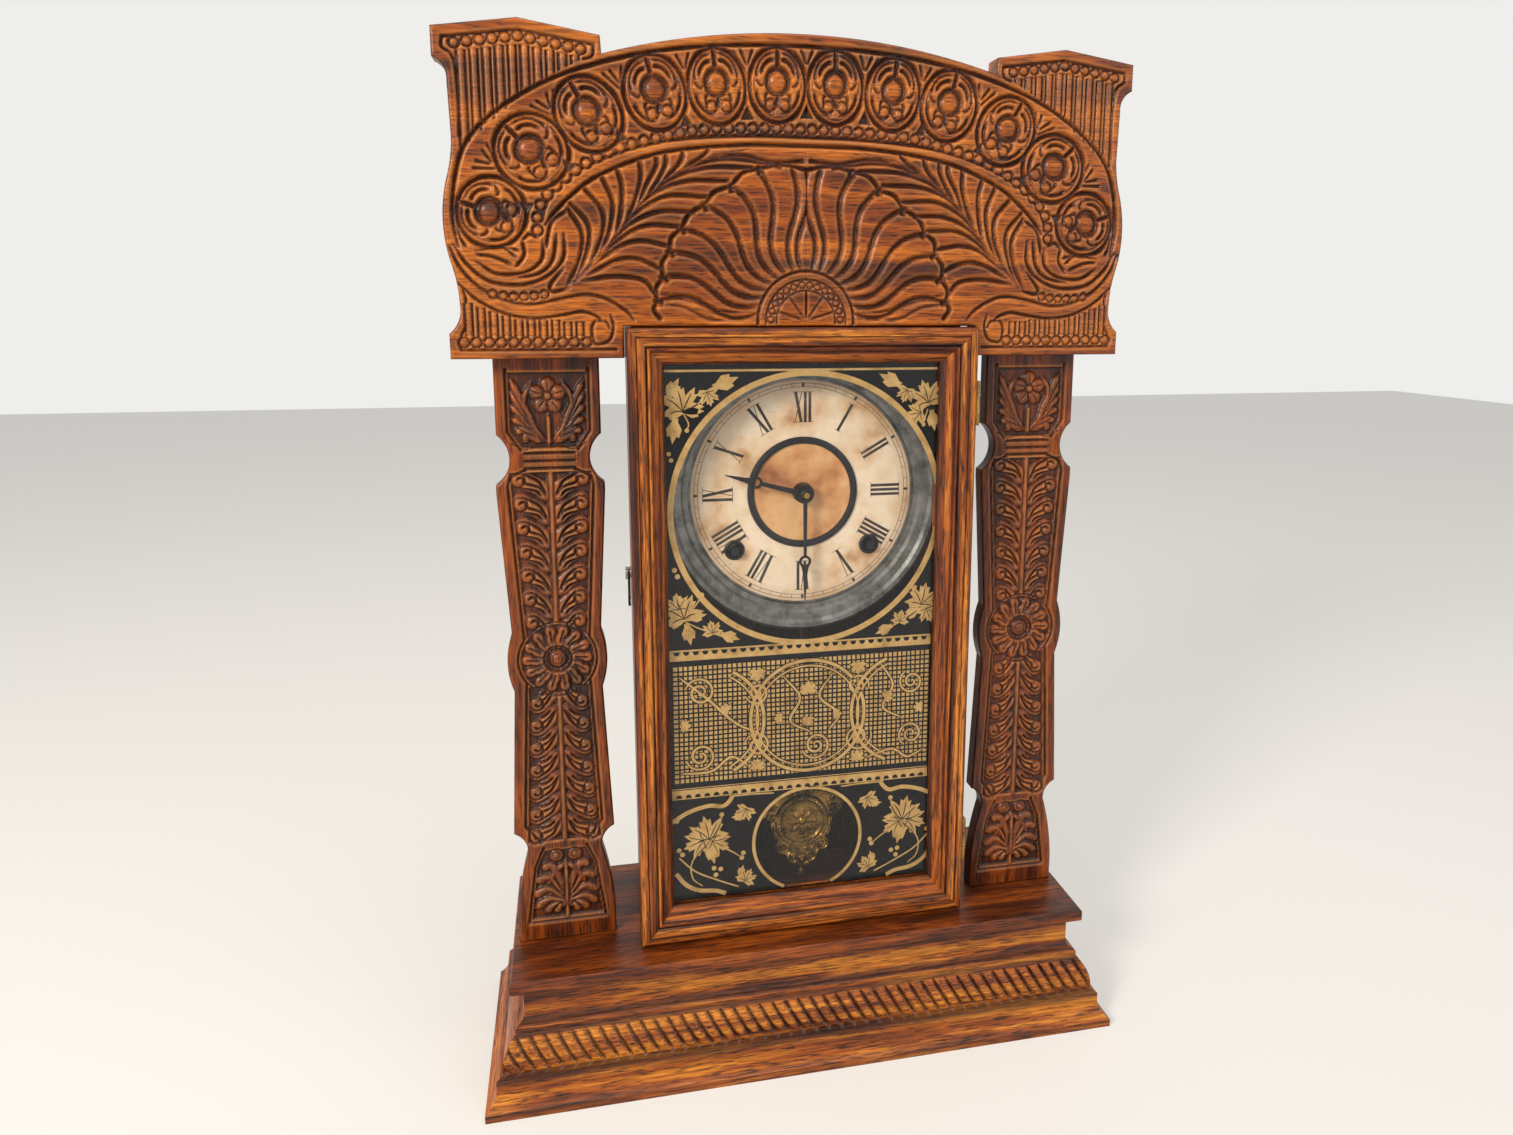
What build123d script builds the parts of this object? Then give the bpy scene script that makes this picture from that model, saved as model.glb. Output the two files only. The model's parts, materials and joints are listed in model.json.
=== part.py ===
from build123d import *
import math
import os

# Kitchen clock in pressed and carved oak, on a reeded base, with an eight-day striking movement.
# Millimetres. X to the right, Y to the back, Z up. The origin is the middle of the base's underside.

# Driving dimensions of the woodwork
BASE_DEPTH = 130.0
BASE_HEIGHT = 73.2
TOP_BOARD_HALF = 175.0
TOP_BOARD_THICK = 7.8
PLINTH_OVERHANG = 15.2
MOULDING_BACK = -20.0
DOOR_HALF = 100.0
DOOR_LOW, DOOR_HIGH = 74.2, 438.1
DOOR_FRONT = -33.2
DOOR_THICK = 21.2
DOOR_MEMBER = 20.2
GLASS_THICK = 2.0
GLASS_DEPTH = 11.0
CASE_HALF = 96.5
CASE_WALL = 8.0
CASE_FRONT = -10.7
CASE_BACK = 60.0
CASE_TOP = 449.0
BACK_BOARD_THICK = 5.0
HEADER_THICK = 14.0
HEADER_LOW = 421.8
COLUMN_THICK = 9.5
COLUMN_CENTRE = 142.5
COLUMN_TOP = 480.0

# Driving dimensions of the dial and the movement
DIAL_X, DIAL_Z = 3.0, 340.1
PAPER_R = 67.0
PAN_R = 83.0
PAPER_FRONT = -2.5
WINDING_X, WINDING_Z = 41.4, -33.5
FRONT_PLATE = (8.0, 9.5)
BACK_PLATE = (40.0, 41.5)
PLATE_HALF = 64.0
PLATE_LOW, PLATE_HIGH = -68.0, 74.0
SHOWN_HOUR, SHOWN_MINUTE = 9, 30

# The going train: wheel teeth, pinion leaves and modules
GREAT_TEETH, SECOND_LEAVES, GREAT_MODULE = 48, 8, 1.375
SECOND_TEETH, CENTRE_LEAVES, SECOND_MODULE = 40, 8, 1.1
CENTRE_TEETH, THIRD_LEAVES, CENTRE_MODULE = 54, 6, 0.8
THIRD_TEETH, ESCAPE_LEAVES, THIRD_MODULE = 60, 6, 0.7
ESCAPE_TEETH, ESCAPE_R = 38, 13.0
CANNON_TEETH, MINUTE_TEETH, MINUTE_LEAVES, HOUR_TEETH, MOTION_MODULE = 12, 36, 8, 32, 0.75

# The striking train after its second wheel
CAM_TEETH, WARNING_LEAVES, CAM_MODULE = 48, 6, 0.8
WARNING_TEETH, FLY_LEAVES, WARNING_MODULE = 40, 6, 0.7

PIVOT_R = 0.9
PIVOT_PLAY = 0.06
GRAVITY = 9810.0

# The pendulum's length follows from the beats that the train counts in an hour
escape_turns_per_hour = CENTRE_TEETH / THIRD_LEAVES * THIRD_TEETH / ESCAPE_LEAVES
BEATS_PER_HOUR = 2 * ESCAPE_TEETH * escape_turns_per_hour
PENDULUM_LENGTH = GRAVITY * (3600 / BEATS_PER_HOUR / math.pi) ** 2
SUSPENSION_Z = 64.8

# Where the base's top board ends, and the planes that follow from it
BOARD_FRONT = -BASE_DEPTH / 2 + PLINTH_OVERHANG
HEADER_FRONT = CASE_FRONT - HEADER_THICK
BASE_BACK = BASE_DEPTH / 2

parts = {}


# Helpers

def slab(sketch, front, back, at=(0.0, 0.0)):
    """A flat piece drawn in X and Z about the point at, from its front plane to its back plane."""
    plane = Plane((at[0], back, at[1]), x_dir=(1, 0, 0), z_dir=(0, -1, 0))
    return extrude(plane * sketch, back - front)


def bar(x0, x1, y0, y1, z0, z1):
    """A square-cut board between two corners."""
    return Pos((x0 + x1) / 2, (y0 + y1) / 2, (z0 + z1) / 2) * Box(x1 - x0, y1 - y0, z1 - z0)


def rod(radius, front, back, at=(0.0, 0.0)):
    """A round bar along Y."""
    return slab(Circle(radius), front, back, at)


def tube(outer, inner, front, back, at=(0.0, 0.0)):
    """A round sleeve along Y."""
    return slab(Circle(outer) - Circle(inner), front, back, at)


def spun(points, at):
    """A turned piece: points are (radius, y), spun about an axis along Y at the point at."""
    ring = revolve(make_face(Polyline(*points, close=True)), Axis.Y, 360)
    return Pos(at[0], 0, at[1]) * ring


def group(*solids):
    """Separate solids that share one node."""
    flat = []
    for item in solids:
        flat.extend(item.solids())
    return Compound(children=flat)


def from_dial(x, z):
    """A place in the movement, given from the middle of the dial."""
    return (DIAL_X + x, DIAL_Z + z)


def polar(radius, degrees):
    return (radius * math.cos(math.radians(degrees)), radius * math.sin(math.radians(degrees)))


def step(start, length, degrees):
    dx, dz = polar(length, degrees)
    return (start[0] + dx, start[1] + dz)


def put(name, shape):
    parts[name] = shape
    return shape


# The base: three mitred mouldings, a back rail and the top board

def moulding_profile():
    """Outline of the base moulding: distance out from the top board's edge, and height."""
    low = Line((MOULDING_BACK, 0), (PLINTH_OVERHANG, 0))
    plinth = Line((PLINTH_OVERHANG, 0), (PLINTH_OVERHANG, 4.6))
    cove = ThreePointArc((PLINTH_OVERHANG, 4.6), (10.6, 8.8), (8.9, 15.0))
    fillet = Polyline((8.9, 15.0), (8.9, 19.4), (5.2, 21.2))
    torus = ThreePointArc((5.2, 21.2), (4.2, 31.5), (-0.7, 39.4))
    ledge = Polyline((-0.7, 39.4), (-1.9, 40.4), (-1.9, 43.6), (-2.9, 44.6))
    hollow = ThreePointArc((-2.9, 44.6), (-6.0, 46.6), (-7.0, 50.2))
    neck = Polyline((-7.0, 50.2), (-7.0, BASE_HEIGHT - TOP_BOARD_THICK))
    top = Line((-7.0, BASE_HEIGHT - TOP_BOARD_THICK), (MOULDING_BACK, BASE_HEIGHT - TOP_BOARD_THICK))
    back = Line((MOULDING_BACK, BASE_HEIGHT - TOP_BOARD_THICK), (MOULDING_BACK, 0))
    return make_face([low, plinth, cove, fillet, torus, ledge, hollow, neck, top, back])


def mitre_block(corners):
    """A tall prism over a plan outline, which cuts a moulding to its mitres."""
    return extrude(make_face(Polyline(*corners, close=True)), BASE_HEIGHT)


def build_base():
    out = TOP_BOARD_HALF + PLINTH_OVERHANG
    inner = TOP_BOARD_HALF + MOULDING_BACK
    front = BOARD_FRONT - PLINTH_OVERHANG
    inner_front = BOARD_FRONT - MOULDING_BACK
    profile = moulding_profile()

    front_plane = Plane((out, BOARD_FRONT, 0), x_dir=(0, -1, 0), z_dir=(-1, 0, 0))
    front_long = extrude(front_plane * profile, 2 * out)
    front_cut = mitre_block([(-out, front), (out, front), (inner, inner_front), (-inner, inner_front)])
    put("base_front_moulding", front_long & front_cut)

    side_plane = Plane((TOP_BOARD_HALF, front, 0), x_dir=(1, 0, 0), z_dir=(0, -1, 0))
    side_long = extrude(side_plane * profile, front - BASE_BACK)
    side_cut = mitre_block([(out, front), (out, BASE_BACK), (inner, BASE_BACK), (inner, inner_front)])
    right = side_long & side_cut
    put("base_right_moulding", right)
    put("base_left_moulding", mirror(right, Plane.YZ))
    put("base_back_rail", bar(-inner, inner, BASE_BACK - 12, BASE_BACK, 8, BASE_HEIGHT - TOP_BOARD_THICK))

    board = bar(-TOP_BOARD_HALF, TOP_BOARD_HALF, BOARD_FRONT, BASE_BACK,
                BASE_HEIGHT - TOP_BOARD_THICK, BASE_HEIGHT)
    front_edges = board.edges().filter_by(Axis.X).group_by(Axis.Y)[0]
    side_edges = board.edges().filter_by(Axis.Y)
    put("base_top_board", fillet(front_edges + side_edges, 1.4))


# The case: two sides, a top, and a back board let in between them

def build_case():
    inner = CASE_HALF - CASE_WALL
    side = bar(inner, CASE_HALF, CASE_FRONT, CASE_BACK, BASE_HEIGHT, CASE_TOP - CASE_WALL)
    put("case_right_side", side)
    put("case_left_side", mirror(side, Plane.YZ))
    put("case_top", bar(-CASE_HALF, CASE_HALF, CASE_FRONT, CASE_BACK, CASE_TOP - CASE_WALL, CASE_TOP))
    back_front = CASE_BACK - BACK_BOARD_THICK
    put("back_board", bar(-inner, inner, back_front, CASE_BACK, BASE_HEIGHT, CASE_TOP - CASE_WALL))
    rail = bar(inner - 10.5, inner, PAPER_FRONT + 0.8, 8, 246, CASE_TOP - CASE_WALL)
    put("dial_rails", group(rail, mirror(rail, Plane.YZ)))


# The header board: an arched crest between two capped posts, notched for the door

ARCH_CROWN = 593.0
ARCH_MEETS_CAP = (108.5, 577.8)
CAP_OUTER, CAP_HIGH, CAP_LOW = 192.0, 586.9, 572.4
CAP_APEX = (150.0, 593.0)
WAIST, BULGE = 184.6, 190.8
NOTCH_HALF, NOTCH_HIGH = 101.2, 439.0


def half_header_edge():
    """The right half of the header's outline, from the crown of the arch round to the notch."""
    sag = ARCH_CROWN - ARCH_MEETS_CAP[1]
    arch_r = (ARCH_MEETS_CAP[0] ** 2 + sag ** 2) / (2 * sag)
    mid_x = ARCH_MEETS_CAP[0] / 2
    mid_z = ARCH_CROWN - (arch_r - math.sqrt(arch_r ** 2 - mid_x ** 2))
    return [
        ThreePointArc((0, ARCH_CROWN), (mid_x, mid_z), ARCH_MEETS_CAP),
        Polyline(ARCH_MEETS_CAP, (109.0, CAP_HIGH - 0.2), CAP_APEX, (CAP_OUTER, CAP_HIGH), (CAP_OUTER, CAP_LOW)),
        ThreePointArc((CAP_OUTER, CAP_LOW), (187.2, 568.6), (185.3, 561.0)),
        Line((185.3, 561.0), (WAIST, 534.0)),
        ThreePointArc((WAIST, 534.0), (185.6, 523.6), (188.0, 513.5)),
        ThreePointArc((188.0, 513.5), (BULGE, 492.6), (188.0, 471.7)),
        ThreePointArc((188.0, 471.7), (185.6, 461.6), (WAIST, 450.5)),
        ThreePointArc((WAIST, 450.5), (186.4, 440.0), (190.6, 435.0)),
        Polyline((190.6, 435.0), (190.6, HEADER_LOW), (NOTCH_HALF, HEADER_LOW),
                 (NOTCH_HALF, NOTCH_HIGH), (0, NOTCH_HIGH)),
    ]


def build_header():
    right = half_header_edge()
    left = [mirror(edge, Plane.YZ) for edge in right]
    outline = make_face(Wire([e for item in right + left for e in item.edges()]))
    put("header_board", slab(outline, HEADER_FRONT, CASE_FRONT))


# The two columns, flat boards with a shaped outline, lapped behind the header

def column_outline():
    """The right edge of a column: half width and height, from the top down."""
    top = Line((28.3, COLUMN_TOP), (28.3, 379.5))
    bite = ThreePointArc((28.3, 379.5), (21.8, 365.2), (29.6, 351.4))
    shoulder = Polyline((29.6, 351.4), (29.6, 346.5), (24.9, 265.5))
    boss = ThreePointArc((24.9, 265.5), (28.0, 248.3), (24.9, 231.0))
    skirt = Line((24.9, 231.0), (29.0, 143.0))
    cove = ThreePointArc((29.0, 143.0), (23.4, 138.2), (21.5, 130.8))
    foot = ThreePointArc((21.5, 130.8), (26.2, 110.5), (28.5, 89.5))
    end = Line((28.5, 89.5), (28.5, BASE_HEIGHT))
    return [top, bite, shoulder, boss, skirt, cove, foot, end]


def build_columns():
    right = column_outline()
    left = [mirror(edge, Plane.YZ) for edge in right]
    caps = [Line((-28.3, COLUMN_TOP), (28.3, COLUMN_TOP)), Line((-28.5, BASE_HEIGHT), (28.5, BASE_HEIGHT))]
    outline = make_face(Wire([e for item in right + left + caps for e in item.edges()]))
    column = slab(outline, CASE_FRONT, CASE_FRONT + COLUMN_THICK, (COLUMN_CENTRE, 0))
    put("right_column", column)
    put("left_column", mirror(column, Plane.YZ))


# The door: four mitred members of one moulding, the glass and its stops

RABBET = 15.2


def door_profile():
    """Section of a door member: distance in from the outer edge, and depth behind the front."""
    return make_face([
        Line((0, DOOR_THICK), (0, 2.2)),
        ThreePointArc((0, 2.2), (0.65, 0.65), (2.2, 0)),
        Polyline((2.2, 0), (4.7, 0), (5.0, 0.5), (5.3, 0), (8.4, 0.2)),
        ThreePointArc((8.4, 0.2), (9.8, 0.9), (10.4, 2.4)),
        ThreePointArc((10.4, 2.4), (11.6, 1.6), (12.7, 2.8)),
        ThreePointArc((12.7, 2.8), (14.0, 4.4), (16.0, 5.0)),
        Polyline((16.0, 5.0), (DOOR_MEMBER, 8.8), (DOOR_MEMBER, GLASS_DEPTH), (RABBET, GLASS_DEPTH),
                 (RABBET, DOOR_THICK), (0, DOOR_THICK)),
    ])


def build_door():
    profile = door_profile()
    height = DOOR_HIGH - DOOR_LOW
    w = DOOR_MEMBER

    stile_plane = Plane((-DOOR_HALF, DOOR_FRONT, DOOR_LOW), x_dir=(1, 0, 0), z_dir=(0, 0, 1))
    stile = extrude(stile_plane * profile, height)
    stile_cut = slab(make_face(Polyline((-DOOR_HALF, DOOR_LOW), (-DOOR_HALF + w, DOOR_LOW + w),
                                        (-DOOR_HALF + w, DOOR_HIGH - w), (-DOOR_HALF, DOOR_HIGH), close=True)),
                     DOOR_FRONT - 1, DOOR_FRONT + DOOR_THICK + 1)
    left = stile & stile_cut
    put("door_left_stile", left)
    put("door_right_stile", mirror(left, Plane.YZ))

    rail_plane = Plane((-DOOR_HALF, DOOR_FRONT, DOOR_HIGH), x_dir=(0, 0, -1), z_dir=(1, 0, 0))
    rail = extrude(rail_plane * profile, 2 * DOOR_HALF)
    rail_cut = slab(make_face(Polyline((-DOOR_HALF, DOOR_HIGH), (DOOR_HALF, DOOR_HIGH),
                                       (DOOR_HALF - w, DOOR_HIGH - w), (-DOOR_HALF + w, DOOR_HIGH - w),
                                       close=True)),
                    DOOR_FRONT - 1, DOOR_FRONT + DOOR_THICK + 1)
    top = rail & rail_cut
    put("door_top_rail", top)
    put("door_bottom_rail", mirror(top, Plane.XY.offset((DOOR_LOW + DOOR_HIGH) / 2)))

    half = DOOR_HALF - RABBET - 0.4
    low, high = DOOR_LOW + RABBET + 0.4, DOOR_HIGH - RABBET - 0.4
    glass_front = DOOR_FRONT + GLASS_DEPTH
    glass_back = glass_front + GLASS_THICK
    put("door_glass", bar(-half, half, glass_front, glass_back, low, high))
    stop = 4.0
    upright = bar(-half, -half + stop, glass_back, glass_back + 4.5, low, high)
    cross = bar(-half + stop, half - stop, glass_back, glass_back + 4.5, high - stop, high)
    put("glass_stops", group(upright, mirror(upright, Plane.YZ), cross,
                             mirror(cross, Plane.XY.offset((low + high) / 2))))


# Door furniture: two hinges at the right and the hook at the left

KNUCKLE_R = 1.6
LEAF = 0.5
HINGE_X, HINGE_Y = DOOR_HALF + LEAF + 0.3 + KNUCKLE_R, DOOR_FRONT + 7.2
HINGE_PLACES = (118.0, 394.0)
HINGE_HALF = 13.0
HOOK_AT = (DOOR_FRONT + 14.0, 299.0)
HOOK_LENGTH = 15.0


def build_hinges():
    door_leaves = []
    case_leaves = []
    case_turn = CASE_FRONT - 0.1
    for z in HINGE_PLACES:
        low, high = z - HINGE_HALF, z + HINGE_HALF
        leaf = bar(DOOR_HALF, DOOR_HALF + LEAF, HINGE_Y - 1.2, DOOR_FRONT + DOOR_THICK - 0.4, low, high)
        knuckle = Pos(HINGE_X, HINGE_Y, z) * Cylinder(KNUCKLE_R, 9.0)
        web = bar(DOOR_HALF, HINGE_X, HINGE_Y - 0.4, HINGE_Y + 0.4, z - 4.5, z + 4.5)
        bore = Pos(HINGE_X, HINGE_Y, z) * Cylinder(0.85, 30)
        door_leaves.append((leaf + knuckle + web) - bore)

        pin = Pos(HINGE_X, HINGE_Y, z) * Cylinder(0.8, 2 * HINGE_HALF)
        ends = [Pos(HINGE_X, HINGE_Y, z + s * 9.0) * Cylinder(KNUCKLE_R, 8.0) for s in (-1, 1)]
        strap = [bar(HINGE_X + KNUCKLE_R - LEAF, HINGE_X + KNUCKLE_R, HINGE_Y, case_turn + LEAF,
                     min(z + s * 5.0, z + s * 13.0), max(z + s * 5.0, z + s * 13.0)) for s in (-1, 1)]
        cross = bar(CASE_HALF, HINGE_X + KNUCKLE_R, case_turn, case_turn + LEAF, low, high)
        plate = bar(CASE_HALF, CASE_HALF + LEAF, case_turn, case_turn + 14.0, low, high)
        case_leaf = pin + ends[0] + ends[1] + strap[0] + strap[1] + cross + plate
        case_leaves.append(case_leaf)
    put("door_hinge_leaves", group(*door_leaves))
    put("case_hinge_leaves", group(*case_leaves))


def build_hook():
    y, z = HOOK_AT
    side = -DOOR_HALF
    sheet = Plane((side - 0.6, y, z), x_dir=(0, -1, 0), z_dir=(-1, 0, 0))
    eye = Circle(2.6)
    reach = HOOK_LENGTH
    shank = Pos(0, -reach / 2) * Rectangle(2.2, reach)
    tip = Pos(0, -reach) * Circle(2.9)
    mouth = Pos(0, -reach) * Circle(1.6) + Pos(1.9, -reach) * Rectangle(3.8, 3.2)
    profile = (eye + shank + tip) - mouth - Circle(1.15)
    put("door_hook", extrude(sheet * profile, 1.4))
    screw_line = Plane((side, y, z), x_dir=(0, 1, 0), z_dir=(-1, 0, 0))
    shank_solid = extrude(screw_line * Circle(1.1), 2.4)
    head = extrude(screw_line.offset(2.2) * Circle(2.2), 1.0)
    put("hook_screw", shank_solid + head)
    pin_line = Plane((-CASE_HALF, y + reach, z), x_dir=(0, 1, 0), z_dir=(-1, 0, 0))
    reach_out = DOOR_HALF - CASE_HALF + 2.6
    put("catch_pin", extrude(pin_line * Circle(1.2), reach_out))


# The dial: pan, paper, centre ring and the two grommets

def build_dial():
    at = from_dial(0, 0)
    pan_floor = PAPER_FRONT + 0.3
    back = PAPER_FRONT + 0.8
    pan = spun([(6.2, pan_floor), (68.2, pan_floor), (68.8, -4.3), (71.6, -4.7), (73.2, -6.5), (77.4, -7.4),
                (79.2, -9.2), (81.4, -9.7), (PAN_R, -8.8), (PAN_R, back), (PAN_R - 0.6, back),
                (PAN_R - 0.6, -8.4), (81.2, -9.0), (79.6, -8.6), (77.8, -6.8), (73.6, -5.9), (72.0, -4.1),
                (69.4, -3.7), (68.9, back), (6.2, back)], at)
    paper = tube(PAPER_R, 6.2, PAPER_FRONT, pan_floor, at)
    grommets = []
    for side in (-1, 1):
        hole = from_dial(side * WINDING_X, WINDING_Z)
        pan = pan - rod(5.1, -4, 0, hole)
        paper = paper - rod(5.1, -4, 0, hole)
        grommets.append(spun([(4.1, back + 0.6), (5.0, back + 0.6), (5.0, PAPER_FRONT), (6.2, PAPER_FRONT),
                              (6.0, PAPER_FRONT - 0.8), (5.2, PAPER_FRONT - 1.3), (4.4, PAPER_FRONT - 1.0),
                              (4.1, PAPER_FRONT - 0.4)], hole))
    put("dial_pan", pan)
    put("dial_paper", paper)
    put("winding_grommets", group(*grommets))
    put("dial_centre_ring", spun([(29.3, PAPER_FRONT), (33.5, PAPER_FRONT), (33.2, PAPER_FRONT - 0.9),
                                  (31.4, PAPER_FRONT - 1.5), (29.6, PAPER_FRONT - 0.9)], at))


# Wheels and pinions of the movement

WHEEL_TOOTH = (0.80, 1.15, 0.20, 0.50)
PINION_TOOTH = (0.50, 1.15, 0.20, 0.40)


def toothed(teeth, module, shape, phase):
    """Outline with straight-flanked teeth. shape holds the tooth's height above and below the pitch
    circle in modules, and its width at tip and root as parts of the pitch. phase is the direction of
    one tooth in degrees."""
    above, below, tip, root = shape
    pitch = 360 / teeth
    points = []
    for k in range(teeth):
        middle = phase + k * pitch
        outer = teeth * module / 2 + above * module
        inner = teeth * module / 2 - below * module
        points.append(polar(inner, middle - root * pitch / 2))
        points.append(polar(outer, middle - tip * pitch / 2))
        points.append(polar(outer, middle + tip * pitch / 2))
        points.append(polar(inner, middle + root * pitch / 2))
    return make_face(Polyline(*points, close=True))


def crossed(teeth, module, phase, hub, arm):
    """A wheel blank with teeth, a rim, a hub and four arms."""
    rim = teeth * module / 2 - 2.8 * module - 0.6
    windows = Circle(rim) - Circle(hub) - Rectangle(2 * rim + 2, arm) - Rectangle(arm, 2 * rim + 2)
    return toothed(teeth, module, WHEEL_TOOTH, phase) - windows


def mesh_phase(driver_teeth, driver_phase, driven_teeth, direction):
    """The direction of a driven tooth, so that its gap faces the driver's tooth."""
    return direction + 180 - (driver_phase - direction) * driver_teeth / driven_teeth + 180 / driven_teeth


def direction(start, end):
    return math.degrees(math.atan2(end[1] - start[1], end[0] - start[0]))


def arbor(radius, at, front=FRONT_PLATE[0], back=BACK_PLATE[1]):
    """A steel arbor between the plates, with its two pivots turned down to run in them."""
    body = rod(radius, FRONT_PLATE[1] + 0.3, BACK_PLATE[0] - 0.3, at)
    return body + rod(PIVOT_R, front - 0.4, back + 0.4, at)


def meeting(first, first_reach, second, second_reach):
    """Where two circles cross, on the upper right of the line from first to second."""
    gap = math.dist(first, second)
    along = (first_reach ** 2 - second_reach ** 2 + gap ** 2) / (2 * gap)
    off = math.sqrt(first_reach ** 2 - along ** 2)
    ux, uz = (second[0] - first[0]) / gap, (second[1] - first[1]) / gap
    return (first[0] + ux * along - uz * off, first[1] + uz * along + ux * off)


# Places of the arbors, from the middle of the dial
CENTRE = (0.0, 0.0)
TIME_GREAT = (WINDING_X, WINDING_Z)
STRIKE_GREAT = (-WINDING_X, WINDING_Z)
GREAT_TO_SECOND = GREAT_MODULE * (GREAT_TEETH + SECOND_LEAVES) / 2
SECOND_TO_CENTRE = SECOND_MODULE * (SECOND_TEETH + CENTRE_LEAVES) / 2
TIME_SECOND = meeting(CENTRE, SECOND_TO_CENTRE, TIME_GREAT, GREAT_TO_SECOND)
STRIKE_SECOND = (-TIME_SECOND[0], TIME_SECOND[1])
THIRD = step(CENTRE, CENTRE_MODULE * (CENTRE_TEETH + THIRD_LEAVES) / 2, 65)
ESCAPE_RISE = math.sqrt((THIRD_MODULE * (THIRD_TEETH + ESCAPE_LEAVES) / 2) ** 2 - THIRD[0] ** 2)
ESCAPE = (0.0, THIRD[1] + ESCAPE_RISE)
CAM = step(STRIKE_SECOND, SECOND_MODULE * (SECOND_TEETH + CENTRE_LEAVES) / 2, 98)
WARNING = step(CAM, CAM_MODULE * (CAM_TEETH + WARNING_LEAVES) / 2, 56)
FLY = step(WARNING, WARNING_MODULE * (WARNING_TEETH + FLY_LEAVES) / 2, 104)
MINUTE = (0.0, -MOTION_MODULE * (CANNON_TEETH + MINUTE_TEETH) / 2)
HOUR_MODULE = 2 * -MINUTE[1] / (MINUTE_LEAVES + HOUR_TEETH)
VERGE = (0.0, SUSPENSION_Z)
HAMMER = (-8.0, -60.0)
PILLARS = ((52.0, 64.0), (-52.0, 64.0), (58.0, 12.0), (-58.0, 12.0), (6.0, -62.0))
PILLAR_R = 3.0


def build_plates():
    half, low, high = PLATE_HALF, PLATE_LOW, PLATE_HIGH
    corner = 16.0
    plate = make_face(Polyline((-half + corner, low), (half - corner, low), (half, low + corner),
                               (half, high - corner), (half - corner, high), (-half + corner, high),
                               (-half, high - corner), (-half, low + corner), close=True))
    pivots = [TIME_SECOND, STRIKE_SECOND, THIRD, ESCAPE, CAM, WARNING, FLY, HAMMER]
    for place in pivots:
        plate = plate - Pos(*place) * Circle(PIVOT_R + PIVOT_PLAY)
    for place in (TIME_GREAT, STRIKE_GREAT):
        plate = plate - Pos(*place) * Circle(4.0 + PIVOT_PLAY)
    front_plate = slab(plate - Circle(2.5 + PIVOT_PLAY), *FRONT_PLATE, from_dial(0, 0))
    front_plate = front_plate + rod(1.5, 1.3, 8.5, from_dial(*MINUTE))
    post = rod(1.5, 1.4, 8.5, from_dial(*VERGE)) + rod(3.0, -1.2, 1.4, from_dial(*VERGE))
    slot = bar(DIAL_X - 0.6, DIAL_X + 0.6, -2, 1.2, DIAL_Z + SUSPENSION_Z - 4, DIAL_Z + SUSPENSION_Z + 1.5)
    front_plate = front_plate + (post - slot)
    put("front_plate", front_plate)
    put("back_plate", slab(plate - Circle(PIVOT_R + PIVOT_PLAY), *BACK_PLATE, from_dial(0, 0)))
    pillars = []
    for place in PILLARS:
        at = from_dial(*place)
        pillars.append(rod(PILLAR_R, FRONT_PLATE[1], BACK_PLATE[0], at))
        pillars.append(rod(PILLAR_R, BACK_PLATE[1], CASE_BACK - BACK_BOARD_THICK, at))
        pillars.append(rod(2.4, FRONT_PLATE[0] - 1.6, FRONT_PLATE[0], at))
    put("plate_pillars", group(*pillars))


def wound(inner, pitch, half_turns, thickness):
    """A face of a spiral strip made of half circles. Each half circle starts where the last ended."""
    outer_edges, inner_edges = [], []
    middle = 0.0
    radius = inner
    sign = 1
    for k in range(half_turns):
        for shift, store in ((thickness / 2, outer_edges), (-thickness / 2, inner_edges)):
            r = radius + shift
            store.append(ThreePointArc((middle - sign * r, 0), (middle, sign * r), (middle + sign * r, 0)))
        end = middle + sign * radius
        radius = radius + pitch / 2
        middle = end - sign * radius
        sign = -sign
    first = Line(outer_edges[0] @ 0, inner_edges[0] @ 0)
    last = Line(outer_edges[-1] @ 1, inner_edges[-1] @ 1)
    return make_face(Wire([e for item in outer_edges + inner_edges + [first, last] for e in item.edges()]))


SPRING_WIDTH = (24.0, 38.0)
SPRING_INNER, SPRING_PITCH, SPRING_HALF_TURNS, SPRING_THICK = 5.6, 6.0, 8, 0.8


def build_springs():
    coil = wound(SPRING_INNER, SPRING_PITCH, SPRING_HALF_TURNS, SPRING_THICK)
    reach = SPRING_INNER + SPRING_PITCH / 2 * (SPRING_HALF_TURNS - 1)
    for name, place, flip in (("time_mainspring", TIME_GREAT, 1), ("strike_mainspring", STRIKE_GREAT, -1)):
        sketch = coil if flip == 1 else mirror(coil, Plane.YZ)
        put(name, slab(sketch, *SPRING_WIDTH, from_dial(*place)))
    print("mainspring: least gap between turns", round(SPRING_PITCH - SPRING_THICK, 2), "outer reach", reach)


GREAT_PLANE = (20.5, 22.5)
RATCHET_TEETH, RATCHET_R = 16, 9.0


def ratchet(turn):
    points = []
    for k in range(RATCHET_TEETH):
        a = turn * k * 360 / RATCHET_TEETH
        points.append(polar(RATCHET_R, a))
        points.append(polar(RATCHET_R - 1.5, a + turn * 2))
    return make_face(Polyline(*points, close=True))


def great_wheel(place, phase, click_angle):
    """A great wheel, loose on its winding arbor, with the rivet that carries its click."""
    rim_r = 26.5
    windows = Circle(rim_r) - Circle(17.0) - Rectangle(60, 5) - Rectangle(5, 60)
    blank = toothed(GREAT_TEETH, GREAT_MODULE, WHEEL_TOOTH, phase) - windows - Circle(4.0 + PIVOT_PLAY)
    wheel = slab(blank, *GREAT_PLANE, from_dial(*place))
    rivet = step(place, 13.4, click_angle)
    return wheel + rod(1.2, GREAT_PLANE[0] - 2.6, GREAT_PLANE[0] + 1, from_dial(*rivet))


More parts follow.
